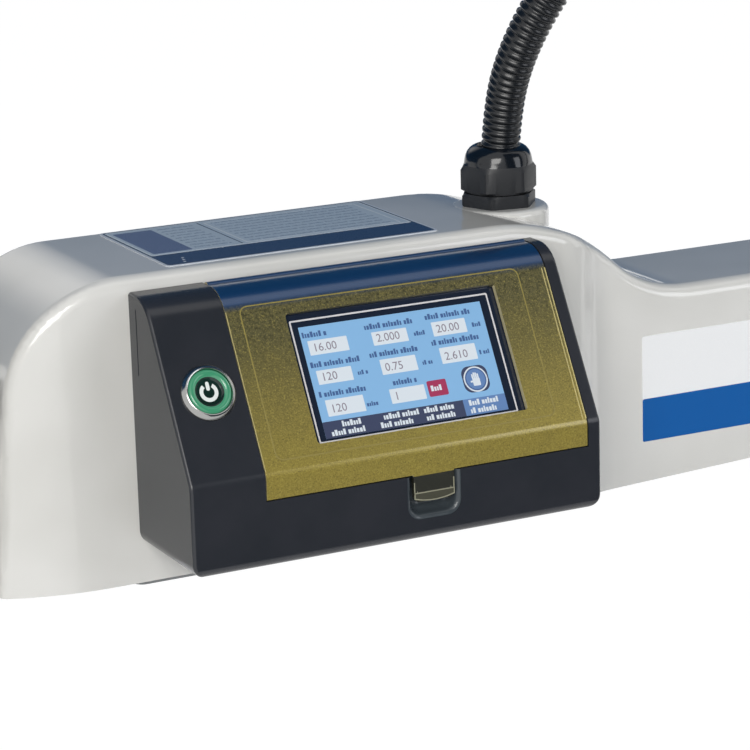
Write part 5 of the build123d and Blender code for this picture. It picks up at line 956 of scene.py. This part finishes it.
# ---------------------------------------------------------------- conduit and glands
@dataclass
class Conduit(Assembly):
    """The corrugated conduit from the gland by the panel to the one on the elbow."""

    diameter: float = 19.6
    groove: float = 1.15
    pitch: float = 3.65
    around: int = 30
    per_ring: int = 6
    crest: float = 0.6
    top: float = 127.2
    route: Sequence[Point3] = (
        (0.222, 0.0, -0.013), (0.222, 0.0, 0.040), (0.224, -0.023, 0.0888), (0.255, -0.043, 0.1408),
        (0.312, -0.044, 0.1838), (0.383, -0.026, 0.1938), (0.445, -0.006, 0.1618),
        (0.481, 0.004, 0.1018), (0.490, 0.0, 0.040), (0.490, 0.0, -0.013))

    def line(self) -> list[Vector]:
        """Points along the route's smooth curve."""
        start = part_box("panel_housing")[0]
        origin = Vector((start.x, 0.0, start.z + self.top * MM))
        curve = bpy.data.curves.new("conduit_route", "CURVE")
        curve.dimensions = "3D"
        curve.resolution_u = 24
        spline = curve.splines.new("NURBS")
        spline.points.add(len(self.route) - 1)
        for point, offset in zip(spline.points, self.route):
            point.co = (*(origin + Vector(offset)), 1.0)
        spline.order_u = 3
        spline.use_endpoint_u = True
        holder = link("conduit_route", curve)
        points = [v.co.copy() for v in baked(holder).vertices]
        bpy.data.objects.remove(holder)
        return points

    def rings(self) -> NodeTree:
        """A tree that draws a ribbed tube along a line."""
        tree, given = new_tree("corrugated_tube", {"Radius": 0.01, "Groove": 0.001, "Pitch": 0.003,
                                                   "Per ring": self.per_ring, "Around": self.around})
        line = add_node(tree, "GeometryNodeMeshToCurve", {0: given["Geometry"]})
        count = add_node(tree, "GeometryNodeCurveLength", {0: line})
        for operation, value in (("DIVIDE", given["Pitch"]), ("ROUND", 0.0), ("MULTIPLY", given["Per ring"])):
            count = add_node(tree, "ShaderNodeMath", {0: count, 1: value}, operation=operation)
        spaced = add_node(tree, "GeometryNodeResampleCurve", {0: line, "Count": count})
        wave = add_node(tree, "GeometryNodeInputIndex")
        for operation, value in (("DIVIDE", given["Per ring"]), ("MULTIPLY", 2 * math.pi), ("COSINE", 0.0)):
            wave = add_node(tree, "ShaderNodeMath", {0: wave, 1: value}, operation=operation)
        least = add_node(tree, "ShaderNodeMath", {0: given["Radius"], 1: given["Groove"]},
                         operation="SUBTRACT")
        # The wave is cut off above the crest, so that the ribs are flat on top and the grooves round.
        radius = add_node(tree, "ShaderNodeMapRange",
                          {0: wave, 1: -1.0, 2: self.crest, 3: least, 4: given["Radius"]})
        circle = add_node(tree, "GeometryNodeCurvePrimitiveCircle",
                          {"Resolution": given["Around"], "Radius": 1.0})
        tube = add_node(tree, "GeometryNodeCurveToMesh", {"Curve": spaced, "Profile Curve": circle,
                                                          "Scale": radius, "Fill Caps": True})
        return end_tree(tree, add_node(tree, "GeometryNodeSetShadeSmooth", {0: tube}), CONDUIT_NYLON)

    def forms(self) -> None:
        points = self.line()
        start = bpy.data.meshes.new("conduit_line")
        start.from_pydata(points, [(i, i + 1) for i in range(len(points) - 1)], [])
        mesh = run_tree(self.rings(), start, Radius=self.diameter / 2 * MM, Groove=self.groove * MM,
                        Pitch=self.pitch * MM)
        tube = self.packed.add("conduit", mesh, [CONDUIT_NYLON], "signal_conduit", True)


@dataclass
class Glands(Assembly):
    """Two nylon cable glands: a hexagonal body in its seat, and a nut with a domed shoulder."""

    flats: float = 34.0
    corner: float = 19.4
    soften: float = 0.7
    body_high: float = 6.5
    body_corner: float = 50.0
    nut_foot: float = 7.0
    nut_corner: float = 42.0
    hexagon_top: float = 20.6
    bore: float = 9.9
    neck: float = 15.2
    seats: Point2 = (222.0, 490.0)
    steps: int = 144
    fold: float = 26.0
    dome: Sequence[Point2] = (
        (17.25, 0.6), (17.0, 2.2), (16.5, 4.4), (15.6, 6.4), (14.2, 8.0), (12.9, 8.9), (11.9, 9.3),
        (11.3, 9.2), (10.9, 8.6), (10.6, 7.4))

    def hexed(self, corner: float) -> Callable[[float, float], float]:
        """What cuts a radius down to the hexagon, one of whose corners lies at an angle in degrees."""
        def cut_down(turn: float, radius: float) -> float:
            """The radius at an angle, its corners softened."""
            part = ((turn - math.radians(corner)) % (math.pi / 3)) - math.pi / 6
            flat = self.flats / 2 / math.cos(part)
            gap = flat - radius
            return (flat + radius - math.hypot(gap, self.soften)) / 2
        return cut_down

    def body(self) -> list[Point2]:
        """Radius and height of the body, from its foot."""
        bore, high, corner, neck = self.bore, self.body_high, self.corner, self.neck
        return [(bore, 0.0), (corner - 0.2, 0.0), (corner + 0.4, 0.8), (corner + 0.4, high - 1.2),
                (corner - 1.6, high), (neck, high), (neck, high + 0.4), (bore, high + 0.4), (bore, 0.0)]

    def nut(self) -> list[Point2]:
        """Radius and height of the nut: hexagon, chamfer, dome and mouth."""
        bore, foot, corner, top = self.bore, self.nut_foot, self.corner, self.hexagon_top
        return [(bore, foot), (corner - 2.2, foot), (corner + 0.3, foot + 1.2),
                (corner + 0.3, top - 2.6), (17.5, top), *((r, top + h) for r, h in self.dome),
                (bore, top + 7.2), (bore, foot)]

    def forms(self) -> None:
        """One body and one nut at each end of the conduit."""
        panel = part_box("panel_housing")[0]
        seat = panel.z + Conduit.top * MM
        form = bmesh.new()
        for x in self.seats:
            place = Matrix.Translation((panel.x + x * MM, 0.0, seat))
            for outline, corner in ((self.body(), self.body_corner), (self.nut(), self.nut_corner)):
                part = to_mesh(turned(outline, place, self.steps, self.hexed(corner)), "gland")
                form.from_mesh(part)
                bpy.data.meshes.remove(part)
        for face in form.faces:
            face.material_index = int(face.calc_center_median().z > seat + self.hexagon_top * MM)
        self.packed.add("gland_nuts", to_mesh(form, "glands", self.fold), [NYLON, NYLON_GLOSS],
                        "cable_glands", True)


# ---------------------------------------------------------------- control panel
@dataclass
class ControlPanel(Assembly):
    """The panel housing, its flip cover, the display behind it and the power button.

    Boxes on the sloping front are measured along the arm from the housing's end and up from the fold.
    """

    dressed: Dressed = field(default_factory=lambda: {"panel_housing": (HOUSING, Edge.MACHINED)})
    coated: Coated = field(default_factory=lambda: {
        "display_unit": ABS_GREY, "power_switch": ABS_GREY, "hinge_pin": GROUND_STEEL})
    depth: float = 62.9
    fold: float = 43.1
    tilt: float = 29.7
    crease: float = 32.0
    glass: Box = (65.0, 10.6, 176.4, 74.0)
    glass_sink: float = 3.3
    line: Box = (68.2, 11.4, 171.8, 70.6)
    line_wide: float = 0.8
    lcd: Box = (72.0, 13.2, 167.0, 67.0)
    digit_high: float = 4.0
    mark_high: float = 2.7
    label_long: float = 24.0
    unit_long: float = 5.0
    # Each field's box, its digits, and where its label and its unit start, as shares of the display.
    fields: Sequence[tuple[Box, str, float, float]] = (
        ((0.030, 0.130, 0.240, 0.260), "16.00", 0.01, 0.0),
        ((0.374, 0.137, 0.565, 0.258), "2.000", 0.345, 0.60),
        ((0.705, 0.127, 0.892, 0.256), "20.00", 0.68, 0.925),
        ((0.035, 0.400, 0.222, 0.525), "120", 0.015, 0.25),
        ((0.380, 0.388, 0.575, 0.525), "0.75", 0.335, 0.605),
        ((0.712, 0.365, 0.910, 0.510), "2.610", 0.68, 0.925),
        ((0.042, 0.666, 0.245, 0.812), "120", 0.02, 0.255),
        ((0.390, 0.660, 0.580, 0.790), "1", 0.42, 0.0))
    # The foot bar's words: where their two rows start, and how long they are.
    bar_words: Sequence[tuple[tuple[float, float], tuple[float, float]]] = (
        ((0.10, 0.035), (11.0, 20.0)), ((0.325, 0.30), (21.0, 21.0)), ((0.545, 0.55), (17.0, 17.0)),
        ((0.795, 0.795), (17.0, 17.0)))
    hand: Sequence[Box] = (
        (-1.8, -3.2, 3.8, 3.6), (-1.9, 0.0, 0.8, 2.6), (-0.95, 0.0, 0.8, 3.3), (0.0, 0.0, 0.8, 3.2),
        (0.95, 0.0, 0.8, 2.6), (-3.0, -1.4, 1.6, 0.9))
    button_at: Point2 = (19.6, 42.3)
    button_bezel: Sequence[Point2] = (
        (10.45, -0.5), (13.3, -0.5), (13.3, 0.6), (13.1, 1.0), (11.9, 2.5), (11.6, 2.8), (11.2, 2.95),
        (10.8, 2.85), (10.55, 2.5), (10.45, 2.1), (10.45, -0.5))
    button_cap: Sequence[Point2] = (
        (0, -5.0), (8.85, -5.0), (8.85, 0.4), (10.3, 0.4), (10.3, 1.9), (9.9, 2.5), (9.2, 2.85),
        (8.4, 2.85), (7.6, 2.5), (7.0, 1.9), (6.6, 1.2), (6.0, 0.8), (0, 0.7))
    ring_inside: float = 6.9
    ring_foot: float = 1.6
    symbol_radii: Point2 = (4.5, 2.7)
    symbol_turn: Point2 = (125.0, 290.0)
    symbol_steps: int = 32
    symbol_bar: Box = (-0.85, 0.8, 0.85, 5.0)
    symbol_levels: Point2 = (0.65, 0.85)
    emboss: Box = (44.0, 6.0, 189.5, 80.0)
    emboss_wide: float = 0.6
    emboss_sink: float = 0.3
    # Painted highlights along the cover's edges: where each bright line starts along the arm, and its width.
    glints: Sequence[Point2] = ((37.15, 0.35), (202.3, 0.35), (203.9, 0.45))
    glint_s: Point2 = (2.0, 78.0)
    cover_foot: float = 31.0
    tab: Box = (111.5, 18.5, 132.5, 28.0)
    tab_lip: float = 4.6
    tab_line: float = 0.5
    tab_bow: float = 1.5
    scoop_x: float = 122.0
    scoop_wide: float = 28.0
    scoop_foot: float = 10.0
    scoop_corner: float = 7.0
    scoop_lip: float = 2.6
    scoop_round: float = 5.0
    scoop_steep: float = 72.0
    scoop_stretch: float = 1.35
    scoop_steps: int = 8

    def slope(self, lift: float = 0.0) -> Matrix:
        """The plane of the sloping front: X along the arm, Y up the slope, Z out of it."""
        low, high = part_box("panel_housing")
        tilt = math.radians(self.tilt)
        up = Vector((0.0, math.sin(tilt), math.cos(tilt)))
        out = Vector((0.0, -math.cos(tilt), math.sin(tilt)))
        origin = Vector((low.x, high.y - self.depth * MM, low.z + self.fold * MM)) + out * lift * MM
        return Matrix.Translation(origin) @ Matrix(((1, 0, 0), up, out)).transposed().to_4x4()

    def front(self) -> Matrix:
        """The plane of the cover's tab."""
        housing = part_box("panel_housing")[0]
        return upright((housing.x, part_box("flip_cover")[0].y, housing.z))

    def cover(self) -> None:
        """The amber cover with paler cut edges, partly painted highlight, its pressed line and painted
        highlights along its edges.
        """
        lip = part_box("panel_housing")[0].z + self.cover_foot * MM
        form = bmesh.new()
        form.from_mesh(self.packed.eased("flip_cover", Edge.MACHINED.value))
        cut(form, Vector((0.0, 0.0, lip)))
        for face in form.faces:
            middle = face.calc_center_median()
            if middle.z < lip:
                face.material_index = 2
            # Sawn side faces and the underside by the foot take the pale edge colour, partly painted
            # highlight.
            elif abs(face.normal.x) > 0.8 or (face.normal.z < -0.8 and middle.z < lip + 4 * MM):
                face.material_index = 1
        self.packed.add("amber_cover", to_mesh(form, "amber_cover"), [AMBER, AMBER_EDGE_AND_HIGHLIGHT, SMOKED_TAB],
                        "flip_cover", True, True)
        sheaf = Sheaf(self.slope(-self.emboss_sink))
        sheaf.frame(rounded(self.emboss, 4.0), rounded(self.emboss, 3.4, self.emboss_wide), -0.2, 0.1)
        foot, top = self.glint_s
        # Painted highlight lines along the cover's edges.
        for x, wide in self.glints:
            sheaf.plate(rounded((x, foot, x + wide, top), 0.1, steps=2), -0.2, 0.35, 1)
        self.packed.add("cover_pressed_line", to_mesh(sheaf.form, "cover_pressed_line"),
                        [AMBER_LINE, AMBER_PAINTED_GLINT], "flip_cover")

    def lip_outline(self, inset: float) -> list[Point2]:
        """The outline of the tab's lip, its foot bowed down, this far inside its edge."""
        x0, z0, x1, _ = self.tab
        middle, half = (x0 + x1) / 2, (x1 - x0) / 2 - inset
        foot = [(middle + half * step / 8, z0 + inset + self.tab_bow * (step / 8) ** 2)
                for step in range(-8, 9)]
        top = z0 + self.tab_lip - inset
        return foot + [(middle + half, top), (middle - half, top)]

    def bevel(self) -> None:
        """The smoked tab's lip, and painted highlight lines on its bevels."""
        sheaf = Sheaf(self.front())
        (x0, z0, x1, z1), wide = self.tab, self.tab_line
        # The lip's rim and the side lines are painted highlights; the plate inside the rim is the smoked lip.
        sheaf.frame(self.lip_outline(0.0), self.lip_outline(wide), -0.2, 0.4)
        sheaf.plate(self.lip_outline(wide), -0.2, 0.25, 1)
        for x, side in ((x0, 1.0), (x0 + 3 * wide, 0.55), (x1 - 4 * wide, 0.55), (x1 - wide, 1.0)):
            box = (x, z0 + self.tab_lip - 1.0, x + wide * side, z0 + (z1 - z0) * side)
            sheaf.plate(rounded(box, 0.12, steps=3), -0.2, 0.15)
        self.packed.add("tab_bevel", to_mesh(sheaf.form, "tab_bevel"), [SMOKED_PAINTED_HIGHLIGHT, SMOKED_LIP],
                        "flip_cover")

    def scoop(self) -> None:
        """The smooth dish of the finger scoop under the cover's tab, its colour lightened by a painted sheen.
        """
        place, form = self.front(), bmesh.new()
        half, tall, foot = self.scoop_wide / 2, self.cover_foot - self.scoop_foot, self.cover_foot
        steep, lip, bowl = math.radians(self.scoop_steep), self.scoop_lip, self.scoop_round
        turns = [steep * step / self.scoop_steps for step in range(self.scoop_steps + 1)]
        path = [(lip * math.sin(turn), lip * (1 - math.cos(turn))) for turn in turns]
        inset, deep = path[-1]
        path += [(inset + bowl * (math.sin(steep) - math.sin(turn)),
                  deep + bowl * (math.cos(turn) - math.cos(steep))) for turn in turns[-2::-1]]
        box = (self.scoop_x - half, foot - tall, self.scoop_x + half, foot + tall)
        rings = []
        for inset, deep in path:
            outline = rounded(box, max(self.scoop_corner - 0.7 * inset, 1.5), inset, 8)
            rings.append(ring(form, place, [(x, z, -deep * self.scoop_stretch) for x, z in outline]))
        bridge(form, rings)
        form.faces.new(rings[-1])
        cut(form, place @ (Vector((0.0, foot, 0.0)) * MM), True)
        # The dish's lighter colour is a painted sheen.
        self.packed.add("scoop_dish", to_mesh(form, "scoop_dish", self.crease), [SCOOP_PAINTED_SHEEN],
                        "panel_housing")

    def screen_point(self, u: float, v: float) -> Point2:
        """A place on the display, from its left side and down from its top, as shares."""
        x0, s0, x1, s1 = self.lcd
        return x0 + u * (x1 - x0), s1 - v * (s1 - s0)

    def tile(self, sheaf: Sheaf, box: Box, level: float, colour: int, radius: float = 0.3) -> None:
        """A flat tile on the display, its box given as shares from the left and from the top."""
        x0, s1 = self.screen_point(box[0], box[1])
        x1, s0 = self.screen_point(box[2], box[3])
        sheaf.plate(rounded((x0, s0, x1, s1), radius, steps=3), level, level + 0.05, colour)

    def icon(self, sheaf: Sheaf) -> None:
        """The raised hand on its round key, by the display's right side."""
        x, s = self.screen_point(0.866, 0.688)
        sheaf.plate(rounded((x - 6.8, s - 6.2, x + 6.8, s + 6.6), 4.0), 0.04, 0.09, 6)
        for step, (radius, colour) in enumerate(((6.2, 3), (5.5, 5), (4.9, 7))):
            sheaf.plate(round_outline(x, s, radius), 0.09 + 0.04 * step, 0.13 + 0.04 * step, colour)
        for left, foot, wide, high in self.hand:
            box = (x + left, s + foot, x + left + wide, s + foot + high)
            sheaf.plate(rounded(box, 0.35, steps=3), 0.2, 0.25, 3)

    def display(self) -> None:
        """The display: printed glass, its white line, the lit ground and what is drawn on it."""
        colours = [SCREEN_BLACK, SCREEN_LINE, SCREEN_GROUND, SCREEN_FIELD, SCREEN_TEXT, SCREEN_WORD,
                   SCREEN_BAR, SCREEN_TAB, SCREEN_RED]
        place, high = self.slope(-self.glass_sink), self.mark_high
        sheaf = Sheaf(place)
        sheaf.plate(rounded(self.glass, 1.0), -1.4, 0.0, 0)
        sheaf.frame(rounded(self.line, 0.8, steps=3), rounded(self.line, 0.4, self.line_wide, 3), -0.05,
                    0.05, 1)
        sheaf.plate(rounded(self.lcd, 0.2, steps=2), -0.05, 0.04, 2)
        marks = []
        for seed, (box, digits, label, unit) in enumerate(self.fields):
            self.tile(sheaf, box, 0.04, 3)
            sheaf.words(digits, *self.screen_point(box[0] + 0.02, box[3] - 0.03), self.digit_high, 0.12, 4)
            marks += word_marks(*self.screen_point(label, box[1] - 0.03),
                                self.label_long if unit else self.label_long / 2, high, seed)
            if unit:
                marks += word_marks(*self.screen_point(unit, box[3] - 0.035), self.unit_long, high * 0.8,
                                    seed + 1)
        self.tile(sheaf, (0.597, 0.640, 0.703, 0.783), 0.04, 8, 0.8)
        bright = word_marks(*self.screen_point(0.613, 0.735), 6.2, high, 3)
        self.icon(sheaf)
        self.tile(sheaf, (0.0, 0.853, 1.0, 1.0), 0.04, 6)
        self.tile(sheaf, (0.765, 0.853, 1.0, 1.0), 0.09, 7)
        for seed, (lefts, lengths) in enumerate(self.bar_words):
            for row, (left, length) in enumerate(zip(lefts, lengths)):
                bright += word_marks(*self.screen_point(left, 0.915 + 0.07 * row), length * 0.85, high,
                                     seed + 2 * row)
        self.packed.add("display_face", to_mesh(sheaf.form, "display_face"), colours, "display_glass", True)
        self.packed.print_marks("display_marks", marks, place, 0.08, SCREEN_WORD, "display_glass")
        self.packed.print_marks("display_bright_marks", bright, place, 0.18, SCREEN_FIELD, "display_glass")

    def button(self) -> None:
        """The power button: a chrome bezel, a dark cap with a lit ring and a white symbol."""
        place = self.slope() @ Matrix.Translation(Vector((*self.button_at, 0)) * MM)
        self.packed.add("button_bezel", to_mesh(turned(self.button_bezel, place), "button_bezel",
                                                self.crease), [BEZEL_STEEL], "power_bezel", True)
        mesh = to_mesh(turned(self.button_cap, place), "button_cap", self.crease)
        flat_frame = place.inverted()
        for face in mesh.polygons:
            spot = flat_frame @ face.center
            if math.hypot(spot.x, spot.y) > self.ring_inside * MM and spot.z > self.ring_foot * MM:
                face.material_index = 1
        self.packed.add("button_cap", mesh, [CAP_DARK, RING_GREEN], "power_cap", True)
        sheaf = Sheaf(place)
        (start, sweep), steps = self.symbol_turn, self.symbol_steps
        turns = [math.radians(start + sweep * step / steps) for step in range(steps + 1)]
        arc = [(radius * math.cos(turn), radius * math.sin(turn))
               for radius, way in zip(self.symbol_radii, (turns, turns[::-1])) for turn in way]
        for outline in (arc, rounded(self.symbol_bar, 0.8, steps=4)):
            sheaf.plate(outline, *self.symbol_levels)
        self.packed.add("button_symbol", to_mesh(sheaf.form, "button_symbol"), [SYMBOL_WHITE], "power_cap")

    def forms(self) -> None:
        """Build the cover, the scoop, the display and the button."""
        for make in (self.cover, self.bevel, self.scoop, self.display, self.button):
            make()


# ---------------------------------------------------------------- forearm
@dataclass
class Forearm(Assembly):
    """The forearm casting with its label, its name plate and its covers."""

    dressed: Dressed = field(default_factory=lambda: {
        "arm_casting": (ENAMEL, Edge.MOULDED), "elbow_cap": (ENAMEL, Edge.MACHINED),
        "bottom_cover": (COVER_GREY, Edge.SHEET), "elbow_lock_lever": (BLACK_OXIDE, Edge.MACHINED)})
    coated: Coated = field(default_factory=lambda: {
        "elbow_bearings": GROUND_STEEL, "housing_screws": BLACK_OXIDE, "control_board": BOARD_GREEN,
        "servo_drive": ANODISED, "terminal_block": NYLON, "tilt_bushes": BRONZE})
    bar: float = 24.0
    block_x: float = 25.0
    rule_x: float = 50.0
    rows: int = 9
    row_high: float = 2.2
    band: float = 22.4

    def label(self) -> None:
        """The printed label on the casting's top: a pale border, a navy bar and a ruled slate table."""
        low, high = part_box("top_label")
        wide, deep = (high.x - low.x) / MM, (high.y - low.y) / MM
        bar, block, rule = self.bar, self.block_x, self.rule_x
        place = Matrix.Translation(low)
        sheaf = Sheaf(place)
        for box, radius, foot, top, colour, steps in (
                ((0.0, 0.0, wide, deep), 3.0, 0.0, 0.3, 0, 6),
                ((1.4, 1.4, wide - 1.4, deep - 1.4), 2.2, 0.28, 0.34, 1, 6),
                ((2.4, bar, wide - 2.4, deep - 2.4), 1.6, 0.32, 0.37, 3, 6),
                ((3.4, bar + 1.6, wide - 3.4, deep - 3.4), 1.2, 0.35, 0.4, 2, 6),
                ((2.0, 1.8, wide - 2.0, bar - 1.0), 1.6, 0.32, 0.37, 4, 6),
                ((5.0, bar + 3.4, block, deep - 7.0), 0.6, 0.38, 0.43, 5, 6),
                ((rule, bar + 2.6, rule + 0.7, deep - 5.0), 0.2, 0.38, 0.43, 1, 2)):
            sheaf.plate(rounded(box, radius, steps=steps), foot, top, colour)
        table = (rule + 3.0, bar + 3.6, wide - 6.5, deep - 6.0)
        sheaf.frame(rounded(table, 0.8), rounded(table, 0.5, 0.8), 0.38, 0.42, 3)
        for dot in range(3):
            sheaf.plate(round_outline(11.0 + dot * 1.2, 5.0 + dot * 4.0, 0.75, 16), 0.36, 0.41, 0)
        self.packed.add("label_film", to_mesh(sheaf.form, "label_film"),
                        [FILM_EDGE, FILM_DARK, FILM_GREY, FILM_LINE, FILM_NAVY, FILM_BLOCK], "top_label",
                        True)
        marks = []
        for row in range(self.rows):
            y = bar + 6.0 + row * (deep - bar - 16.0) / (self.rows - 1)
            marks += word_marks(block + 2.5, y, rule - block - 7.0, self.row_high, row)
            marks += word_marks(rule + 6.0, y, wide - rule - 18.0, self.row_high, row + 2)
        self.packed.print_marks("label_marks", marks, place, 0.42, FILM_MARK, "top_label")

    def plate(self) -> None:
        """The two-tone name plate on the rear arm."""
        low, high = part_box("name_plate")
        wide, tall = (high.x - low.x) / MM, (high.z - low.z) / MM
        sheaf = Sheaf(upright((low.x, high.y, low.z)))
        sheaf.plate(rounded((0, 0, wide, tall), 1.2), 0.0, 0.5, 0)
        sheaf.plate(rounded((0.0, 0.0, wide, self.band), 1.0), 0.45, 0.58, 1)
        self.packed.add("two_tone_plate", to_mesh(sheaf.form, "two_tone_plate"), [PLATE_WHITE, PLATE_BLUE],
                        "name_plate", True)

    def forms(self) -> None:
        """Build the label and the plate."""
        self.label()
        self.plate()


# ---------------------------------------------------------------- arm, column and head
@dataclass
class LinkArm(Assembly):
    """The hub, the two level-keeping links, the gas spring and the knuckle."""

    dressed: Dressed = field(default_factory=lambda: {
        **dict.fromkeys(("swivel_hub", "lower_link", "upper_link", "knuckle"), (ENAMEL, Edge.CAST)),
        "spring_cylinder": (MOTOR_BLACK, Edge.MACHINED), "spring_rod": (BRIGHT_CHROME, Edge.SHEET),
        **dict.fromkeys(("hub_pins", "knuckle_pins", "swivel_shaft", "elbow_shaft"),
                        (GROUND_STEEL, Edge.MACHINED)),
        **dict.fromkeys(("lower_link_bushes", "upper_link_fittings"), (BRONZE, Edge.SHEET))})


@dataclass
class Column(Assembly):
    """The base plate, the column with its mains inlet, and the column lock."""

    dressed: Dressed = field(default_factory=lambda: {
        "base_plate": (CHARCOAL, Edge.MOULDED), "column_post": (CHARCOAL, Edge.MOULDED),
        "column_screws": (BLACK_OXIDE, Edge.MACHINED), "mains_inlet": (NYLON, Edge.MACHINED),
        "column_lock_lever": (BLACK_OXIDE, Edge.MACHINED)})
    coated: Coated = field(default_factory=lambda: {"column_bearings": GROUND_STEEL})


@dataclass
class TappingHead(Assembly):
    """The tilting head: bracket, servo motor, spindle, tap chuck and handle bar."""

    dressed: Dressed = field(default_factory=lambda: {
        "head_bracket": (ENAMEL, Edge.CAST), "tilt_shaft": (GROUND_STEEL, Edge.MACHINED),
        "tilt_lock_lever": (BLACK_OXIDE, Edge.MACHINED), "motor_housing": (MOTOR_BLACK, Edge.MOULDED),
        "motor_end_cap": (ABS_GREY, Edge.MOULDED), "motor_screws": (BLACK_OXIDE, Edge.SHEET),
        "bearing_cover": (BLACK_OXIDE, Edge.MACHINED), "spindle_shaft": (GROUND_STEEL, Edge.MACHINED),
        "chuck_body": (GROUND_STEEL, Edge.MACHINED), "chuck_keepers": (BLACK_OXIDE, Edge.KEEN),
        "chuck_sleeve": (BLACK_OXIDE, Edge.MACHINED), "handle_bar": (BRIGHT_CHROME, Edge.MACHINED),
        "handle_grips": (RUBBER, Edge.CAST), "button_pod": (NYLON, Edge.CAST),
        "start_button": (GREEN_CAP, Edge.MOULDED), "reverse_button": (RED_CAP, Edge.MOULDED)})
    coated: Coated = field(default_factory=lambda: {
        "stator": COPPER, "rotor": GROUND_STEEL, "head_bearings": GROUND_STEEL})
    knurl_rows: int = 17
    knurl_around: int = 60
    knurl_margin: float = 5.0
    knurl_step: float = 1.25
    knurl_wide: float = 1.2
    knurl_high: float = 0.8
    rib_count: int = 14
    rib_start: float = 50.0
    rib_step: float = 6.0
    rib_wide: float = 1.1
    rib_sink: float = 0.3

    def knurl(self) -> None:
        """The diamond knurl around the chuck's sleeve."""
        low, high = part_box("chuck_sleeve")
        axis_x, radius = (low.x + high.x) / 2, (high.x - low.x) / 2
        points = []
        for row in range(self.knurl_rows):
            z = low.z + (self.knurl_margin + row * self.knurl_step) * MM
            for step in range(self.knurl_around):
                turn = 2 * math.pi * (step + 0.5 * (row % 2)) / self.knurl_around
                points.append((axis_x + radius * math.cos(turn), radius * math.sin(turn), z))
        mesh = run_tree(studs_tree(BLACK_OXIDE), points_mesh("knurl_points", points),
                        **{"Width": self.knurl_wide * MM, "Height": self.knurl_high * MM, "Axis X": axis_x})
        self.packed.add("sleeve_knurl", mesh, [BLACK_OXIDE], "chuck_sleeve")

    def ribs(self) -> None:
        """The round ribs on both grips."""
        low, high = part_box("handle_grips")
        x, z = (low.x + high.x) / 2, (low.z + high.z) / 2
        points = [(x, side * (self.rib_start + rib * self.rib_step) * MM, z) for side in (-1, 1)
                  for rib in range(self.rib_count)]
        mesh = run_tree(hoops_tree(RUBBER), points_mesh("rib_points", points),
                        Radius=(high.x - low.x) / 2 - self.rib_sink * MM, Thickness=self.rib_wide * MM)
        self.packed.add("grip_ribs", mesh, [RUBBER], "handle_grips")

    def forms(self) -> None:
        """Build the knurl and the ribs."""
        self.knurl()
        self.ribs()


def main() -> None:
    """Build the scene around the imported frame."""
    logging.basicConfig(level=logging.INFO, format="%(message)s")
    packed = Packed(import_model())
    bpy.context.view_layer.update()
    studio = Studio()
    studio.camera()
    Conduit(packed).build()
    Glands(packed).build()
    low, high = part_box("panel_housing")
    studio.build((low + high) / 2)
    for assembly in (Forearm, ControlPanel, LinkArm, Column, TappingHead):
        assembly(packed).build()


if __name__ == "__main__":
    main()
